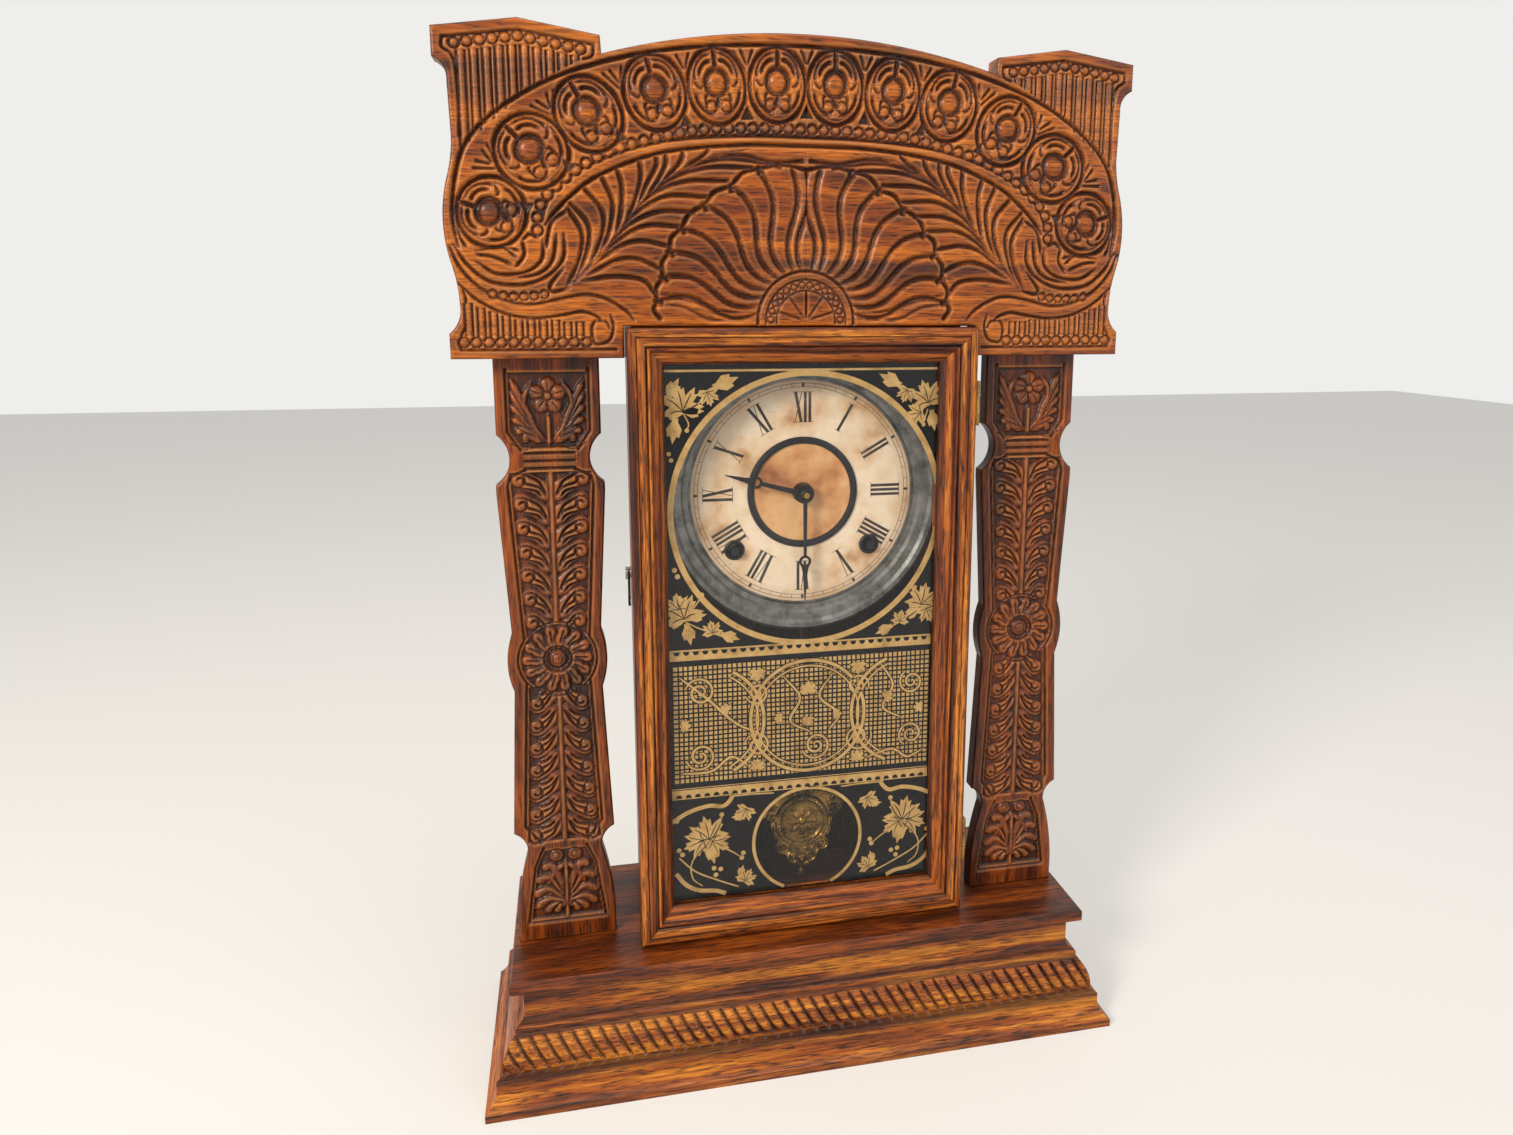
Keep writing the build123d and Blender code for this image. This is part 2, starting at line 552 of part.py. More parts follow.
def winding_arbor(place, turn):
    """The winding arbor: its square for the key in front, the ratchet and the spring's barrel hook."""
    at = from_dial(*place)
    shaft = rod(4.0, 3.0, BACK_PLATE[0] - 0.3, at)
    tail = rod(4.0, BACK_PLATE[0] - 0.3, BACK_PLATE[1] + 0.5, at)
    square = slab(Rectangle(4.6, 4.6), -7.5, 3.0, at)
    wheel = slab(ratchet(turn), GREAT_PLANE[0] - 2.4, GREAT_PLANE[0] - 0.2, at)
    return shaft + tail + square + wheel


def click(place, click_angle, turn):
    """The pawl that stops the ratchet, resting just clear of the tips."""
    rivet = step(place, 13.4, click_angle)
    nose = step(place, RATCHET_R + 0.5, click_angle + turn * 42)
    heel = step(place, RATCHET_R + 2.6, click_angle + turn * 38)
    back = step(place, 15.6, click_angle + turn * 4)
    root = step(place, 11.2, click_angle + turn * 6)
    points = [from_dial(*p) for p in (root, nose, heel, back)]
    body = slab(make_face(Polyline(*points, close=True)), GREAT_PLANE[0] - 2.3, GREAT_PLANE[0] - 0.3)
    eye = rod(2.4, GREAT_PLANE[0] - 2.3, GREAT_PLANE[0] - 0.3, from_dial(*rivet))
    return (body + eye) - rod(1.2 + PIVOT_PLAY, 10, 24, from_dial(*rivet))


def build_great_wheels():
    phases = {}
    for name, place, turn in (("time", TIME_GREAT, 1), ("strike", STRIKE_GREAT, -1)):
        angle = 90 - turn * 30
        phases[name] = 0.0
        wheel = great_wheel(place, phases[name], angle)
        if name == "strike":
            for k in range(12):
                pin = step(place, 30.0, k * 30 + 15)
                wheel = wheel + slab(RegularPolygon(0.8, 6), GREAT_PLANE[0] - 2.0, GREAT_PLANE[0] + 0.5,
                                     from_dial(*pin))
        put(name + "_great_wheel", wheel)
        put(name + "_winding_arbor", winding_arbor(place, turn))
        put(name + "_click", click(place, angle, turn))
    return phases


def pinion(leaves, module, phase, front, back, at):
    return slab(toothed(leaves, module, PINION_TOOTH, phase), front, back, at)


def build_time_train(phases):
    at = from_dial(*TIME_SECOND)
    second_phase = mesh_phase(GREAT_TEETH, phases["time"], SECOND_LEAVES, direction(TIME_GREAT, TIME_SECOND))
    wheel = slab(crossed(SECOND_TEETH, SECOND_MODULE, second_phase, 5, 3), 11.0, 12.2, at)
    leaves = pinion(SECOND_LEAVES, GREAT_MODULE, second_phase, 19.0, 23.8, at)
    put("time_second_wheel", arbor(1.8, at) + wheel + leaves)

    at = from_dial(*CENTRE)
    centre_phase = mesh_phase(SECOND_TEETH, second_phase, CENTRE_LEAVES, direction(TIME_SECOND, CENTRE))
    leaves = pinion(CENTRE_LEAVES, SECOND_MODULE, centre_phase, 10.0, 13.2, at)
    wheel = slab(crossed(CENTRE_TEETH, CENTRE_MODULE, centre_phase, 5, 3), 15.0, 16.2, at)
    front_shaft = rod(2.5, -10.0, 10.5, at) + rod(1.7, -14.2, -9.5, at)
    cannon_phase = 90.0
    cannon = pinion(CANNON_TEETH, MOTION_MODULE, cannon_phase, 4.6, 7.2, at)
    back_shaft = rod(1.6, 10.0, BACK_PLATE[0] - 0.3, at) + rod(PIVOT_R, 30, BACK_PLATE[1] + 0.4, at)
    put("centre_wheel", front_shaft + cannon + leaves + wheel + back_shaft)

    at = from_dial(*THIRD)
    third_phase = mesh_phase(CENTRE_TEETH, centre_phase, THIRD_LEAVES, direction(CENTRE, THIRD))
    leaves = pinion(THIRD_LEAVES, CENTRE_MODULE, third_phase, 14.0, 17.4, at)
    wheel = slab(crossed(THIRD_TEETH, THIRD_MODULE, third_phase, 4, 2.6), 26.0, 27.0, at)
    put("time_third_wheel", arbor(1.3, at) + leaves + wheel)

    at = from_dial(*ESCAPE)
    escape_phase = mesh_phase(THIRD_TEETH, third_phase, ESCAPE_LEAVES, direction(THIRD, ESCAPE))
    leaves = pinion(ESCAPE_LEAVES, THIRD_MODULE, escape_phase, 25.0, 28.2, at)
    put("escape_wheel", arbor(1.1, at, front=3.3) + leaves + escape_disc(at))

    cannon_direction = direction(CENTRE, MINUTE)
    minute_phase = mesh_phase(CANNON_TEETH, cannon_phase, MINUTE_TEETH, cannon_direction)
    at = from_dial(*MINUTE)
    bore = Circle(1.5 + PIVOT_PLAY)
    wheel = slab(crossed(MINUTE_TEETH, MOTION_MODULE, minute_phase, 4.2, 2.6) - bore, 5.2, 6.4, at)
    leaves = slab(toothed(MINUTE_LEAVES, HOUR_MODULE, PINION_TOOTH, minute_phase) - bore, 1.4, 5.2, at)
    put("minute_wheel", wheel + leaves)

    at = from_dial(*CENTRE)
    hour_phase = mesh_phase(MINUTE_LEAVES, minute_phase, HOUR_TEETH, direction(MINUTE, CENTRE))
    bore = Circle(2.5 + PIVOT_PLAY)
    wheel = slab(crossed(HOUR_TEETH, HOUR_MODULE, hour_phase, 5.6, 2.6) - bore, 2.0, 3.2, at)
    put("hour_wheel", wheel + slab(Circle(4.0) - bore, -8.0, 2.6, at))


def escape_disc(at):
    """The escape wheel: raked teeth with thin points."""
    points = []
    for k in range(ESCAPE_TEETH):
        a = 90 + (k + 0.5) * 360 / ESCAPE_TEETH
        points.append(polar(ESCAPE_R - 1.9, a - 4.4))
        points.append(polar(ESCAPE_R, a - 0.6))
        points.append(polar(ESCAPE_R, a))
    windows = Circle(9.6) - Circle(3.4) - Rectangle(24, 2) - Rectangle(2, 24)
    return slab(make_face(Polyline(*points, close=True)) - windows, 3.0, 4.0, at)


# The escapement and the pendulum

ROD_FRONT, ROD_BACK = -0.7, 0.9


def build_escapement():
    place = from_dial(*VERGE)
    hub = Pos(*VERGE) * Circle(3.4)
    arms = make_face(Polyline(VERGE, (-11.4, 57.6), (-13.6, 50.9), (-12.3, 50.9), (-10.2, 56.0), (0, 60.6),
                              (10.2, 56.0), (12.3, 50.9), (13.6, 50.9), (11.4, 57.6), close=True))
    body = slab((hub + arms) - Pos(*VERGE) * Circle(1.5 + PIVOT_PLAY), 2.9, 4.6, from_dial(0, 0))
    sleeve = tube(3.4, 1.5 + PIVOT_PLAY, 1.7, 2.9, place)
    strap = slab(Pos(0, (VERGE[1] - 3 + 30) / 2) * Rectangle(1.6, VERGE[1] - 3 - 30), 1.7, 2.3, from_dial(0, 0))
    fork = bar(DIAL_X - 2.4, DIAL_X + 2.4, 1.7, 2.3, DIAL_Z + 29, DIAL_Z + 33)
    prongs = [bar(DIAL_X + s * 1.8 - 0.6, DIAL_X + s * 1.8 + 0.6, -0.9, 1.7, DIAL_Z + 29, DIAL_Z + 33)
              for s in (-1, 1)]
    put("verge", body + sleeve + strap + fork + prongs[0] + prongs[1])


def build_pendulum():
    """The rod steps aside round the hour pipe, then hangs straight down to the bob."""
    top = SUSPENSION_Z + 0.8
    bob_z = SUSPENSION_Z - PENDULUM_LENGTH
    half = 0.8
    bow = 11.0
    upper = bar(DIAL_X - half, DIAL_X + half, ROD_FRONT, ROD_BACK, DIAL_Z + bow, DIAL_Z + SUSPENSION_Z - 4.5)
    ring = Circle(bow + half) - Circle(bow - half)
    bow_half = slab(ring & Pos(20, 0) * Rectangle(40, 60), ROD_FRONT, ROD_BACK, from_dial(0, 0))
    lower = bar(DIAL_X - half, DIAL_X + half, ROD_FRONT, ROD_BACK, DIAL_Z + bob_z - 40, DIAL_Z - bow)
    spring = bar(DIAL_X - 0.15, DIAL_X + 0.15, ROD_FRONT + 0.1, ROD_BACK - 0.1,
                 DIAL_Z + SUSPENSION_Z - 6, DIAL_Z + top)
    put("pendulum_rod", upper + bow_half + lower + spring)

    at = from_dial(0, bob_z)
    plate_half = [
        ThreePointArc((0, 20.5), (6.5, 21.5), (12.0, 18.5)),
        ThreePointArc((12.0, 18.5), (20.0, 20.0), (26.0, 13.5)),
        ThreePointArc((26.0, 13.5), (26.8, 6.0), (20.5, 2.0)),
        ThreePointArc((20.5, 2.0), (19.5, -7.0), (16.5, -13.0)),
        ThreePointArc((16.5, -13.0), (16.2, -20.0), (10.0, -24.0)),
        ThreePointArc((10.0, -24.0), (5.5, -31.0), (0, -33.5)),
    ]
    other = [mirror(edge, Plane.YZ) for edge in plate_half]
    outline = make_face(Wire([e for item in plate_half + other for e in item.edges()]))
    plate = slab(outline, -3.6, -1.0, at)
    dome = spun([(0, -6.2), (8, -6.0), (13, -5.2), (16.4, -3.6), (17, -2.0), (0, -2.0)], at)
    weight = rod(15.0, -1.0, 3.8, at)
    channel = bar(DIAL_X - 1.0, DIAL_X + 1.0, ROD_FRONT - 0.2, ROD_BACK + 0.2, at[1] - 60, at[1] + 40)
    put("pendulum_bob", (plate + dome + weight) - channel)
    nut = Pos(DIAL_X, (ROD_FRONT + ROD_BACK) / 2, at[1] - 37.0) * Cylinder(2.8, 2.4)
    put("rating_nut", nut - bar(DIAL_X - half, DIAL_X + half, ROD_FRONT, ROD_BACK, at[1] - 45, at[1] - 30))


# The hands

def hand(length, ring_at, hub_r, bore_r, stem):
    """A flat steel hand that points up: hub, tapered stem, pierced ring and a long thin tip."""
    ring_r = 3.7
    outline = Circle(hub_r)
    taper = make_face(Polyline((-stem / 2, 0), (stem / 2, 0), (stem / 3, ring_at), (-stem / 3, ring_at),
                               close=True))
    eye = Pos(0, ring_at) * Circle(ring_r)
    tip = make_face(Polyline((-2.6, ring_at + 2.2), (2.6, ring_at + 2.2), (1.5, ring_at + 6.5),
                             (0.25, length), (-0.25, length), (-1.5, ring_at + 6.5), close=True))
    return outline + taper + eye + tip - Pos(0, ring_at) * Circle(2.1) - Circle(bore_r)


def build_hands():
    minute_turn = -360 * SHOWN_MINUTE / 60
    hour_turn = -30 * (SHOWN_HOUR + SHOWN_MINUTE / 60)
    at = from_dial(0, 0)
    put("minute_hand", slab(Rot(0, 0, minute_turn) * hand(64.6, 40.6, 4.2, 1.7, 2.6), -10.6, -10.0, at))
    put("hour_hand", slab(Rot(0, 0, hour_turn) * hand(49.0, 30.0, 5.8, 2.56, 3.4), -8.6, -8.0, at))
    put("hand_nut", spun([(1.7, -10.6), (3.4, -10.6), (3.2, -12.0), (2.2, -12.9), (1.7, -12.9)], at))


# The striking train, the fly and the hammer

def build_strike_train(phases):
    at = from_dial(*STRIKE_SECOND)
    second_phase = mesh_phase(GREAT_TEETH, phases["strike"], SECOND_LEAVES,
                              direction(STRIKE_GREAT, STRIKE_SECOND))
    wheel = slab(crossed(SECOND_TEETH, SECOND_MODULE, second_phase, 5, 3), 17.0, 18.0, at)
    leaves = pinion(SECOND_LEAVES, GREAT_MODULE, second_phase, 19.0, 23.8, at)
    put("strike_second_wheel", arbor(1.8, at) + wheel + leaves)

    at = from_dial(*CAM)
    cam_phase = mesh_phase(SECOND_TEETH, second_phase, CENTRE_LEAVES, direction(STRIKE_SECOND, CAM))
    leaves = pinion(CENTRE_LEAVES, SECOND_MODULE, cam_phase, 16.0, 19.2, at)
    wheel = slab(crossed(CAM_TEETH, CAM_MODULE, cam_phase, 4.6, 2.8), 22.0, 23.0, at)
    cam = slab(Circle(7.0) - Pos(8.5, 0) * Circle(2.6), 25.0, 26.2, at)
    put("strike_cam_wheel", arbor(1.6, at) + leaves + wheel + cam)

    at = from_dial(*WARNING)
    warning_phase = mesh_phase(CAM_TEETH, cam_phase, WARNING_LEAVES, direction(CAM, WARNING))
    leaves = pinion(WARNING_LEAVES, CAM_MODULE, warning_phase, 21.0, 24.2, at)
    wheel = slab(crossed(WARNING_TEETH, WARNING_MODULE, warning_phase, 4, 2.4), 30.0, 31.0, at)
    warning_pin = rod(0.6, 28.0, 30.5, from_dial(*step(WARNING, 11.2, 20)))
    put("strike_warning_wheel", arbor(1.2, at) + leaves + wheel + warning_pin)

    at = from_dial(*FLY)
    fly_phase = mesh_phase(WARNING_TEETH, warning_phase, FLY_LEAVES, direction(WARNING, FLY))
    leaves = pinion(FLY_LEAVES, WARNING_MODULE, fly_phase, 29.0, 32.2, at)
    vane = slab(Rectangle(22, 0.6), 12.0, 26.0, at)
    put("fly", arbor(1.1, at) + leaves + vane)


GONG = (8.0, -138.0)
GONG_PLANE = (45.0, 47.4)
GONG_INNER, GONG_PITCH, GONG_HALF_TURNS, GONG_WIRE = 9.0, 7.0, 8, 1.8


def build_gong():
    at = from_dial(*GONG)
    coil = wound(GONG_INNER, GONG_PITCH, GONG_HALF_TURNS, GONG_WIRE)
    put("gong_coil", slab(coil, *GONG_PLANE, at))
    stand = rod(11.0, 51.0, CASE_BACK - BACK_BOARD_THICK, at) + rod(4.0, 45.0, 51.0, at)
    block_x = at[0] - GONG_INNER
    block = bar(block_x - 2.5, at[0], GONG_PLANE[1], 51.0, at[1] - 2.5, at[1] + 2.5)
    put("gong_base", stand + block)
    reach = GONG_INNER + GONG_PITCH / 2 * (GONG_HALF_TURNS - 1)
    print("gong: least gap between turns", round(GONG_PITCH - GONG_WIRE, 2), "outer reach", round(reach, 2))


def build_hammer():
    at = from_dial(*HAMMER)
    head = (-37.0, -134.0)
    wire_end = from_dial(*head)
    shaft = rod(1.2, FRONT_PLATE[1] + 0.3, BACK_PLATE[0] - 0.3, at)
    pivots = rod(PIVOT_R, FRONT_PLATE[0] - 0.4, 47.0, at)
    run = math.dist(at, wire_end)
    turn = direction(at, wire_end)
    middle = ((at[0] + wire_end[0]) / 2, (at[1] + wire_end[1]) / 2)
    wire = slab(Pos(*middle) * Rot(0, 0, turn) * Rectangle(run, 1.6), 45.4, 47.0)
    hub = rod(2.2, 44.6, 47.2, at)
    knob = Pos(wire_end[0], 46.2, wire_end[1]) * Rot(0, 90, 0) * Cylinder(5.0, 10.0)
    tail_turn = direction(HAMMER, STRIKE_GREAT)
    tail_end = step(HAMMER, 11.0, tail_turn)
    tail_mid = ((HAMMER[0] + tail_end[0]) / 2, (HAMMER[1] + tail_end[1]) / 2)
    tail = slab(Pos(*tail_mid) * Rot(0, 0, tail_turn) * Rectangle(11.0, 1.8), GREAT_PLANE[0] - 1.8,
                GREAT_PLANE[0] - 0.4, from_dial(0, 0))
    put("hammer", shaft + pivots + wire + hub + knob + tail)


# Screws that show on the back and round the dial

def screw_head(x, y, z):
    return Pos(x, y, z) * Rot(-90, 0, 0) * Cylinder(3.2, 1.4)


def build_screws():
    heads = []
    for z in (100.0, 200.0, 310.0, 420.0):
        for side in (-1, 1):
            heads.append(screw_head(side * 82.0, CASE_BACK + 0.7, z))
    for side in (-1, 1):
        for z in (440.0, 466.0):
            heads.append(screw_head(side * COLUMN_CENTRE, CASE_FRONT + COLUMN_THICK + 0.7, z))
    put("case_screws", group(*heads))


build_base()
build_case()
build_header()
build_columns()
build_door()
build_hinges()
build_hook()
build_dial()
build_plates()
build_springs()
great_phases = build_great_wheels()
build_time_train(great_phases)
build_escapement()
build_pendulum()
build_hands()
build_strike_train(great_phases)
build_gong()
build_hammer()
build_screws()

os.makedirs("parts", exist_ok=True)
for name, shape in parts.items():
    export_step(shape, os.path.join("parts", name + ".step"))
print(len(parts), "nodes written; pendulum length", round(PENDULUM_LENGTH, 1), "mm")
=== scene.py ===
# %% The frame
import bpy
import json
import math
import random
import numpy as np
from mathutils import Matrix, Vector


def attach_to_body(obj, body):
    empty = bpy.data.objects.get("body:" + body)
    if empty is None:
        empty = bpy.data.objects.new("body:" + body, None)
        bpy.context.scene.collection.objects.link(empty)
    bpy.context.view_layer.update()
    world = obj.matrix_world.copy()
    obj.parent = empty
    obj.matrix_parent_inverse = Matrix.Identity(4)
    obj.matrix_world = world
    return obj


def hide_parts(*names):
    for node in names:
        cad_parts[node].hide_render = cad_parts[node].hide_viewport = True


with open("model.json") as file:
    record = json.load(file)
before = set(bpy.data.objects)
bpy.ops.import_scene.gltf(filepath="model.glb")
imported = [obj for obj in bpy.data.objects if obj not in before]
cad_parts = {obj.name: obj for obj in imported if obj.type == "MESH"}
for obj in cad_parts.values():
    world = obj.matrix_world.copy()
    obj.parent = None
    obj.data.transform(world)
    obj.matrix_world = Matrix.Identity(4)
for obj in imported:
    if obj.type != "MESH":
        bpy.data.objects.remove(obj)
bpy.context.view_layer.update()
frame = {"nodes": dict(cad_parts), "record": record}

# %% [markdown]
# The camera comes first, because the likeness is judged from where the photographer stood: a little
# to the left of the clock and above its middle, tilted slightly. The place and the turn were solved
# from the straight edges of the woodwork. The small shifts are the part of the frame that was cropped.

# %% Camera
right = Vector((0.97667155, -0.21469965, 0.00409099))
up = Vector((0.0336196, 0.17169658, 0.98457606))
forward = Vector((0.21209055, 0.96146989, -0.17490928))
turn = Matrix((right, up, -forward)).transposed()
lens = bpy.data.cameras.new("camera")
lens.sensor_width = 36.0
lens.lens = 36.0 * 1035.88 / 1513
lens.shift_x = (1513 / 2 - 806.57) / 1513
lens.shift_y = (483.57 - 1135 / 2) / 1513
lens.clip_start = 0.02
camera = bpy.data.objects.new("camera", lens)
bpy.context.scene.collection.objects.link(camera)
camera.matrix_world = Matrix.Translation((-0.125788, -0.59714, 0.45345)) @ turn.to_4x4()
bpy.context.scene.camera = camera
print("lens", round(lens.lens, 2), "mm")

# %% [markdown]
# A few helpers serve every material. Hex colours are written as the eye reads them, so they are turned
# to linear light. One function adds a node with its settings and its links.

# %% Helpers for materials
def colour(code):
    """An sRGB hex colour as linear red, green, blue and alpha."""
    channels = [int(code[k:k + 2], 16) / 255 for k in (0, 2, 4)]
    linear = [c / 12.92 if c <= 0.04045 else ((c + 0.055) / 1.055) ** 2.4 for c in channels]
    return (*linear, 1.0)


def add(tree, kind, settings=None, inputs=None):
    """Adds one node. settings are its own fields, with a ramp's stops as (place, hex colour), and inputs
    its sockets: a value or another node's socket."""
    node = tree.nodes.new(kind)
    for field, value in (settings or {}).items():
        if field != "stops":
            setattr(node, field, value)
            continue
        elements = node.color_ramp.elements
        while len(elements) < len(value):
            elements.new(1.0)
        for element, (place, code) in zip(elements, value):
            element.position = place
            element.color = colour(code)
    for socket, value in (inputs or {}).items():
        if isinstance(value, bpy.types.NodeSocket):
            tree.links.new(value, node.inputs[socket])
        else:
            node.inputs[socket].default_value = value
    return node


def new_material(name, roughness, metallic=0.0, ior=1.45):
    """A material with its shader, and nothing linked yet."""
    made = bpy.data.materials.new(name)
    made.use_nodes = True
    shader = made.node_tree.nodes["Principled BSDF"]
    shader.inputs["Roughness"].default_value = roughness
    shader.inputs["Metallic"].default_value = metallic
    if not metallic:
        shader.inputs["IOR"].default_value = ior
    return made, made.node_tree, shader


# %% [markdown]
# The woodwork is oak, stained a golden brown and varnished. Oak is ring-porous: long open pores take
# the stain darkest and show as broken dark dashes along the grain, over slow light and dark bands of
# growth. A carved board carries two attributes that say how sunk and how proud each point lies: the
# hollows are darkened, partly for the stain that settles there and partly as painted shade, and the
# proud edges are lightened, partly for wear and partly as a painted highlight. Real pores are 0.3 mm
# wide, and are drawn about 0.8 mm wide, so that they show in the render.

# %% Oak
def oak(name, along, light="cc7018", middle="9e4c10", dark="6a310c", pore="1c0a03", band=16,
        carved=False, hollows=None):
    """Stained oak whose grain runs along the axis named. band is the width of its growth bands in mm.
    hollows darkens the colour in a moulding's hollows, as stain and painted shade: a function of the tree
    and its place and colour."""
    made, tree, shader = new_material(name, 0.4, ior=1.5)
    shader.inputs["Specular IOR Level"].default_value = 0.3
    place = add(tree, "ShaderNodeTexCoord").outputs["Object"]
    lengthwise = {"X": 0, "Y": 1, "Z": 2}[along]

    def stretched(length, width):
        scale = [1000 / width] * 3
        scale[lengthwise] = 1000 / length
        return add(tree, "ShaderNodeMapping", {"vector_type": "POINT"},
                   {"Vector": place, "Scale": scale}).outputs["Vector"]

    growth = add(tree, "ShaderNodeTexNoise", inputs={"Vector": stretched(140, band), "Scale": 1.0,
                                                     "Detail": 3.0, "Roughness": 0.6, "Distortion": 0.6})
    body = add(tree, "ShaderNodeValToRGB", {"stops": [(0.34, dark), (0.48, middle), (0.60, light)]},
               {"Fac": growth.outputs["Fac"]}).outputs["Color"]
    fine = add(tree, "ShaderNodeTexNoise", inputs={"Vector": stretched(22, 1.1), "Scale": 1.0,
                                                   "Detail": 2.0, "Roughness": 0.55})
    shade = add(tree, "ShaderNodeValToRGB", {"stops": [(0.32, "8c7260"), (0.62, "ffffff")]},
                {"Fac": fine.outputs["Fac"]}).outputs["Color"]
    fibre = add(tree, "ShaderNodeMix", {"data_type": "RGBA", "blend_type": "MULTIPLY"},
                {"Factor": 0.75, "A": body, "B": shade}).outputs["Result"]
    pores = add(tree, "ShaderNodeTexNoise", inputs={"Vector": stretched(11, 0.85), "Scale": 1.0,
                                                    "Detail": 1.5, "Roughness": 0.5})
    dashes = add(tree, "ShaderNodeMapRange", inputs={"Value": pores.outputs["Fac"], "From Min": 0.54,
                                                     "From Max": 0.63})
    clusters = add(tree, "ShaderNodeMapRange", inputs={"Value": growth.outputs["Fac"], "From Min": 0.66,
                                                       "From Max": 0.36, "To Min": 0.5, "To Max": 1.0})
    strength = add(tree, "ShaderNodeMath", {"operation": "MULTIPLY"},
                   {0: dashes.outputs["Result"], 1: clusters.outputs["Result"]})
    wood = add(tree, "ShaderNodeMix", {"data_type": "RGBA"},
               {"Factor": strength.outputs["Value"], "A": fibre, "B": colour(pore)}).outputs["Result"]
    if carved:
        # Hollows take a dark brown: stain that settles there, and painted shade.
        depth = add(tree, "ShaderNodeAttribute", {"attribute_name": "recess"}).outputs["Fac"]
        wood = add(tree, "ShaderNodeMix", {"data_type": "RGBA"},
                   {"Factor": depth, "A": wood, "B": colour("1d0a04")}).outputs["Result"]
        # Proud edges take a lighter brown: wear, and a painted highlight.
        rubbed = add(tree, "ShaderNodeAttribute", {"attribute_name": "rubbed"}).outputs["Fac"]
        wood = add(tree, "ShaderNodeMix", {"data_type": "RGBA"},
                   {"Factor": rubbed, "A": wood, "B": colour("d08c4c")}).outputs["Result"]
    if hollows:
        wood = hollows(tree, place, wood)
    tree.links.new(wood, shader.inputs["Base Color"])
    rough = add(tree, "ShaderNodeMapRange", inputs={"Value": pores.outputs["Fac"], "To Min": 0.3,
                                                    "To Max": 0.55})
    tree.links.new(rough.outputs["Result"], shader.inputs["Roughness"])
    raised = add(tree, "ShaderNodeMath", {"operation": "MULTIPLY_ADD"},
                 {0: dashes.outputs["Result"], 1: -1.0, 2: fine.outputs["Fac"]})
    bump = add(tree, "ShaderNodeBump", inputs={"Height": raised.outputs["Value"], "Strength": 0.35,
                                               "Distance": 0.0003})
    tree.links.new(bump.outputs["Normal"], shader.inputs["Normal"])
    shader.inputs["Coat Weight"].default_value = 0.18
    shader.inputs["Coat Roughness"].default_value = 0.2
    return made


oak_across = oak("oak_grain_across", "X")
oak_upright = oak("oak_grain_upright", "Z")
oak_deep = oak("oak_grain_back", "Y")
oak_carved_across = oak("oak_carved_across", "X", dark="5c2808", carved=True)
# The columns' oak is darker than the crest's, partly as painted shade.
oak_carved_upright = oak("oak_carved_upright", "Z", light="9c4a0b", middle="763307", dark="441a04",
                         carved=True)
oak_moulded = oak("oak_carved_moulding", "X", light="e08c2c", middle="ac5817", dark="55260b", band=8,
                  carved=True)
print("oak finishes", 6)

# %% [markdown]
# Carving is worked out as a depth over a fine sheet of points: a gouge stroke is a groove with rounded
# shoulders, a bead is a small dome in a sunk place. That is quicker and steadier than sculpting by
# hand, and it gives real geometry, so the light catches every lobe. Later strokes only cut deeper, and
# beads only rise, so the order is ground first, then strokes, then beads.

# %% Carving tools
def smooth(points, steps=7):
    """A soft curve through a few points, as a Catmull-Rom spline."""
    p = np.array(points, float)
    p = np.vstack([2 * p[0] - p[1], p, 2 * p[-1] - p[-2]])
    t = np.linspace(0, 1, steps, endpoint=False)[:, None]
    runs = []
    for k in range(1, len(p) - 2):
        a, b, c, d = p[k - 1:k + 3]
        runs.append(0.5 * (2 * b + (c - a) * t + (2 * a - 5 * b + 4 * c - d) * t ** 2
                           + (3 * b - a - 3 * c + d) * t ** 3))
    return np.vstack(runs + [p[-2:-1]])


def new_panel(x0, x1, z0, z1, pitch):
    """A flat sheet of points. Depth is in millimetres, 0 at the board's face and negative below it."""
    nx = int(round((x1 - x0) / pitch)) + 1
    nz = int(round((z1 - z0) / pitch)) + 1
    xs = np.linspace(x0, x1, nx)
    zs = np.linspace(z0, z1, nz)
    gx, gz = np.meshgrid(xs, zs)
    return {"x": gx, "z": gz, "xs": xs, "zs": zs, "depth": np.zeros_like(gx)}


def window(panel, x0, x1, z0, z1):
    """The part of the sheet between two corners, as slices."""
    a, b = np.searchsorted(panel["xs"], (x0, x1))
    c, d = np.searchsorted(panel["zs"], (z0, z1))
    return slice(c, d), slice(a, b)


def distance_to_run(gx, gz, a, b):
    """Distance from every point to a straight run, and how far along the run the nearest point is."""
    dx, dz = b[0] - a[0], b[1] - a[1]
    share = np.clip(((gx - a[0]) * dx + (gz - a[1]) * dz) / (dx * dx + dz * dz + 1e-12), 0, 1)
    return np.hypot(gx - a[0] - share * dx, gz - a[1] - share * dz), share


def along_stroke(panel, points, width, curved, taper):
    """The sheet near each straight run of a stroke: its slices, every point's distance from the stroke, and
    the stroke's size there. taper is the size at its two ends."""
    line = smooth(points) if curved and len(points) > 2 else np.array(points, float)
    count = len(line) - 1
    for k in range(count):
        a, b = line[k], line[k + 1]
        area = window(panel, min(a[0], b[0]) - width, max(a[0], b[0]) + width,
                      min(a[1], b[1]) - width, max(a[1], b[1]) + width)
        if not panel["x"][area].size:
            continue
        away, share = distance_to_run(panel["x"][area], panel["z"][area], a, b)
        along = (k + share) / count
        size = np.minimum(np.minimum(taper[0] + along * 4, taper[1] + (1 - along) * 4), 1.0)
        yield area, away, size


def groove(panel, points, width=2.0, depth=2.0, taper=(0.35, 0.35), sharp=2.0, curved=True, face=0.0):
    """A gouge stroke. width is from its line to where the shoulder ends."""
    for area, away, size in along_stroke(panel, points, width, curved, taper):
        near = np.clip(1 - away / (width * np.sqrt(size)), 0, 1)
        cut = face - depth * size * near ** sharp
        panel["depth"][area] = np.where(near > 0, np.minimum(panel["depth"][area], cut),
                                        panel["depth"][area])


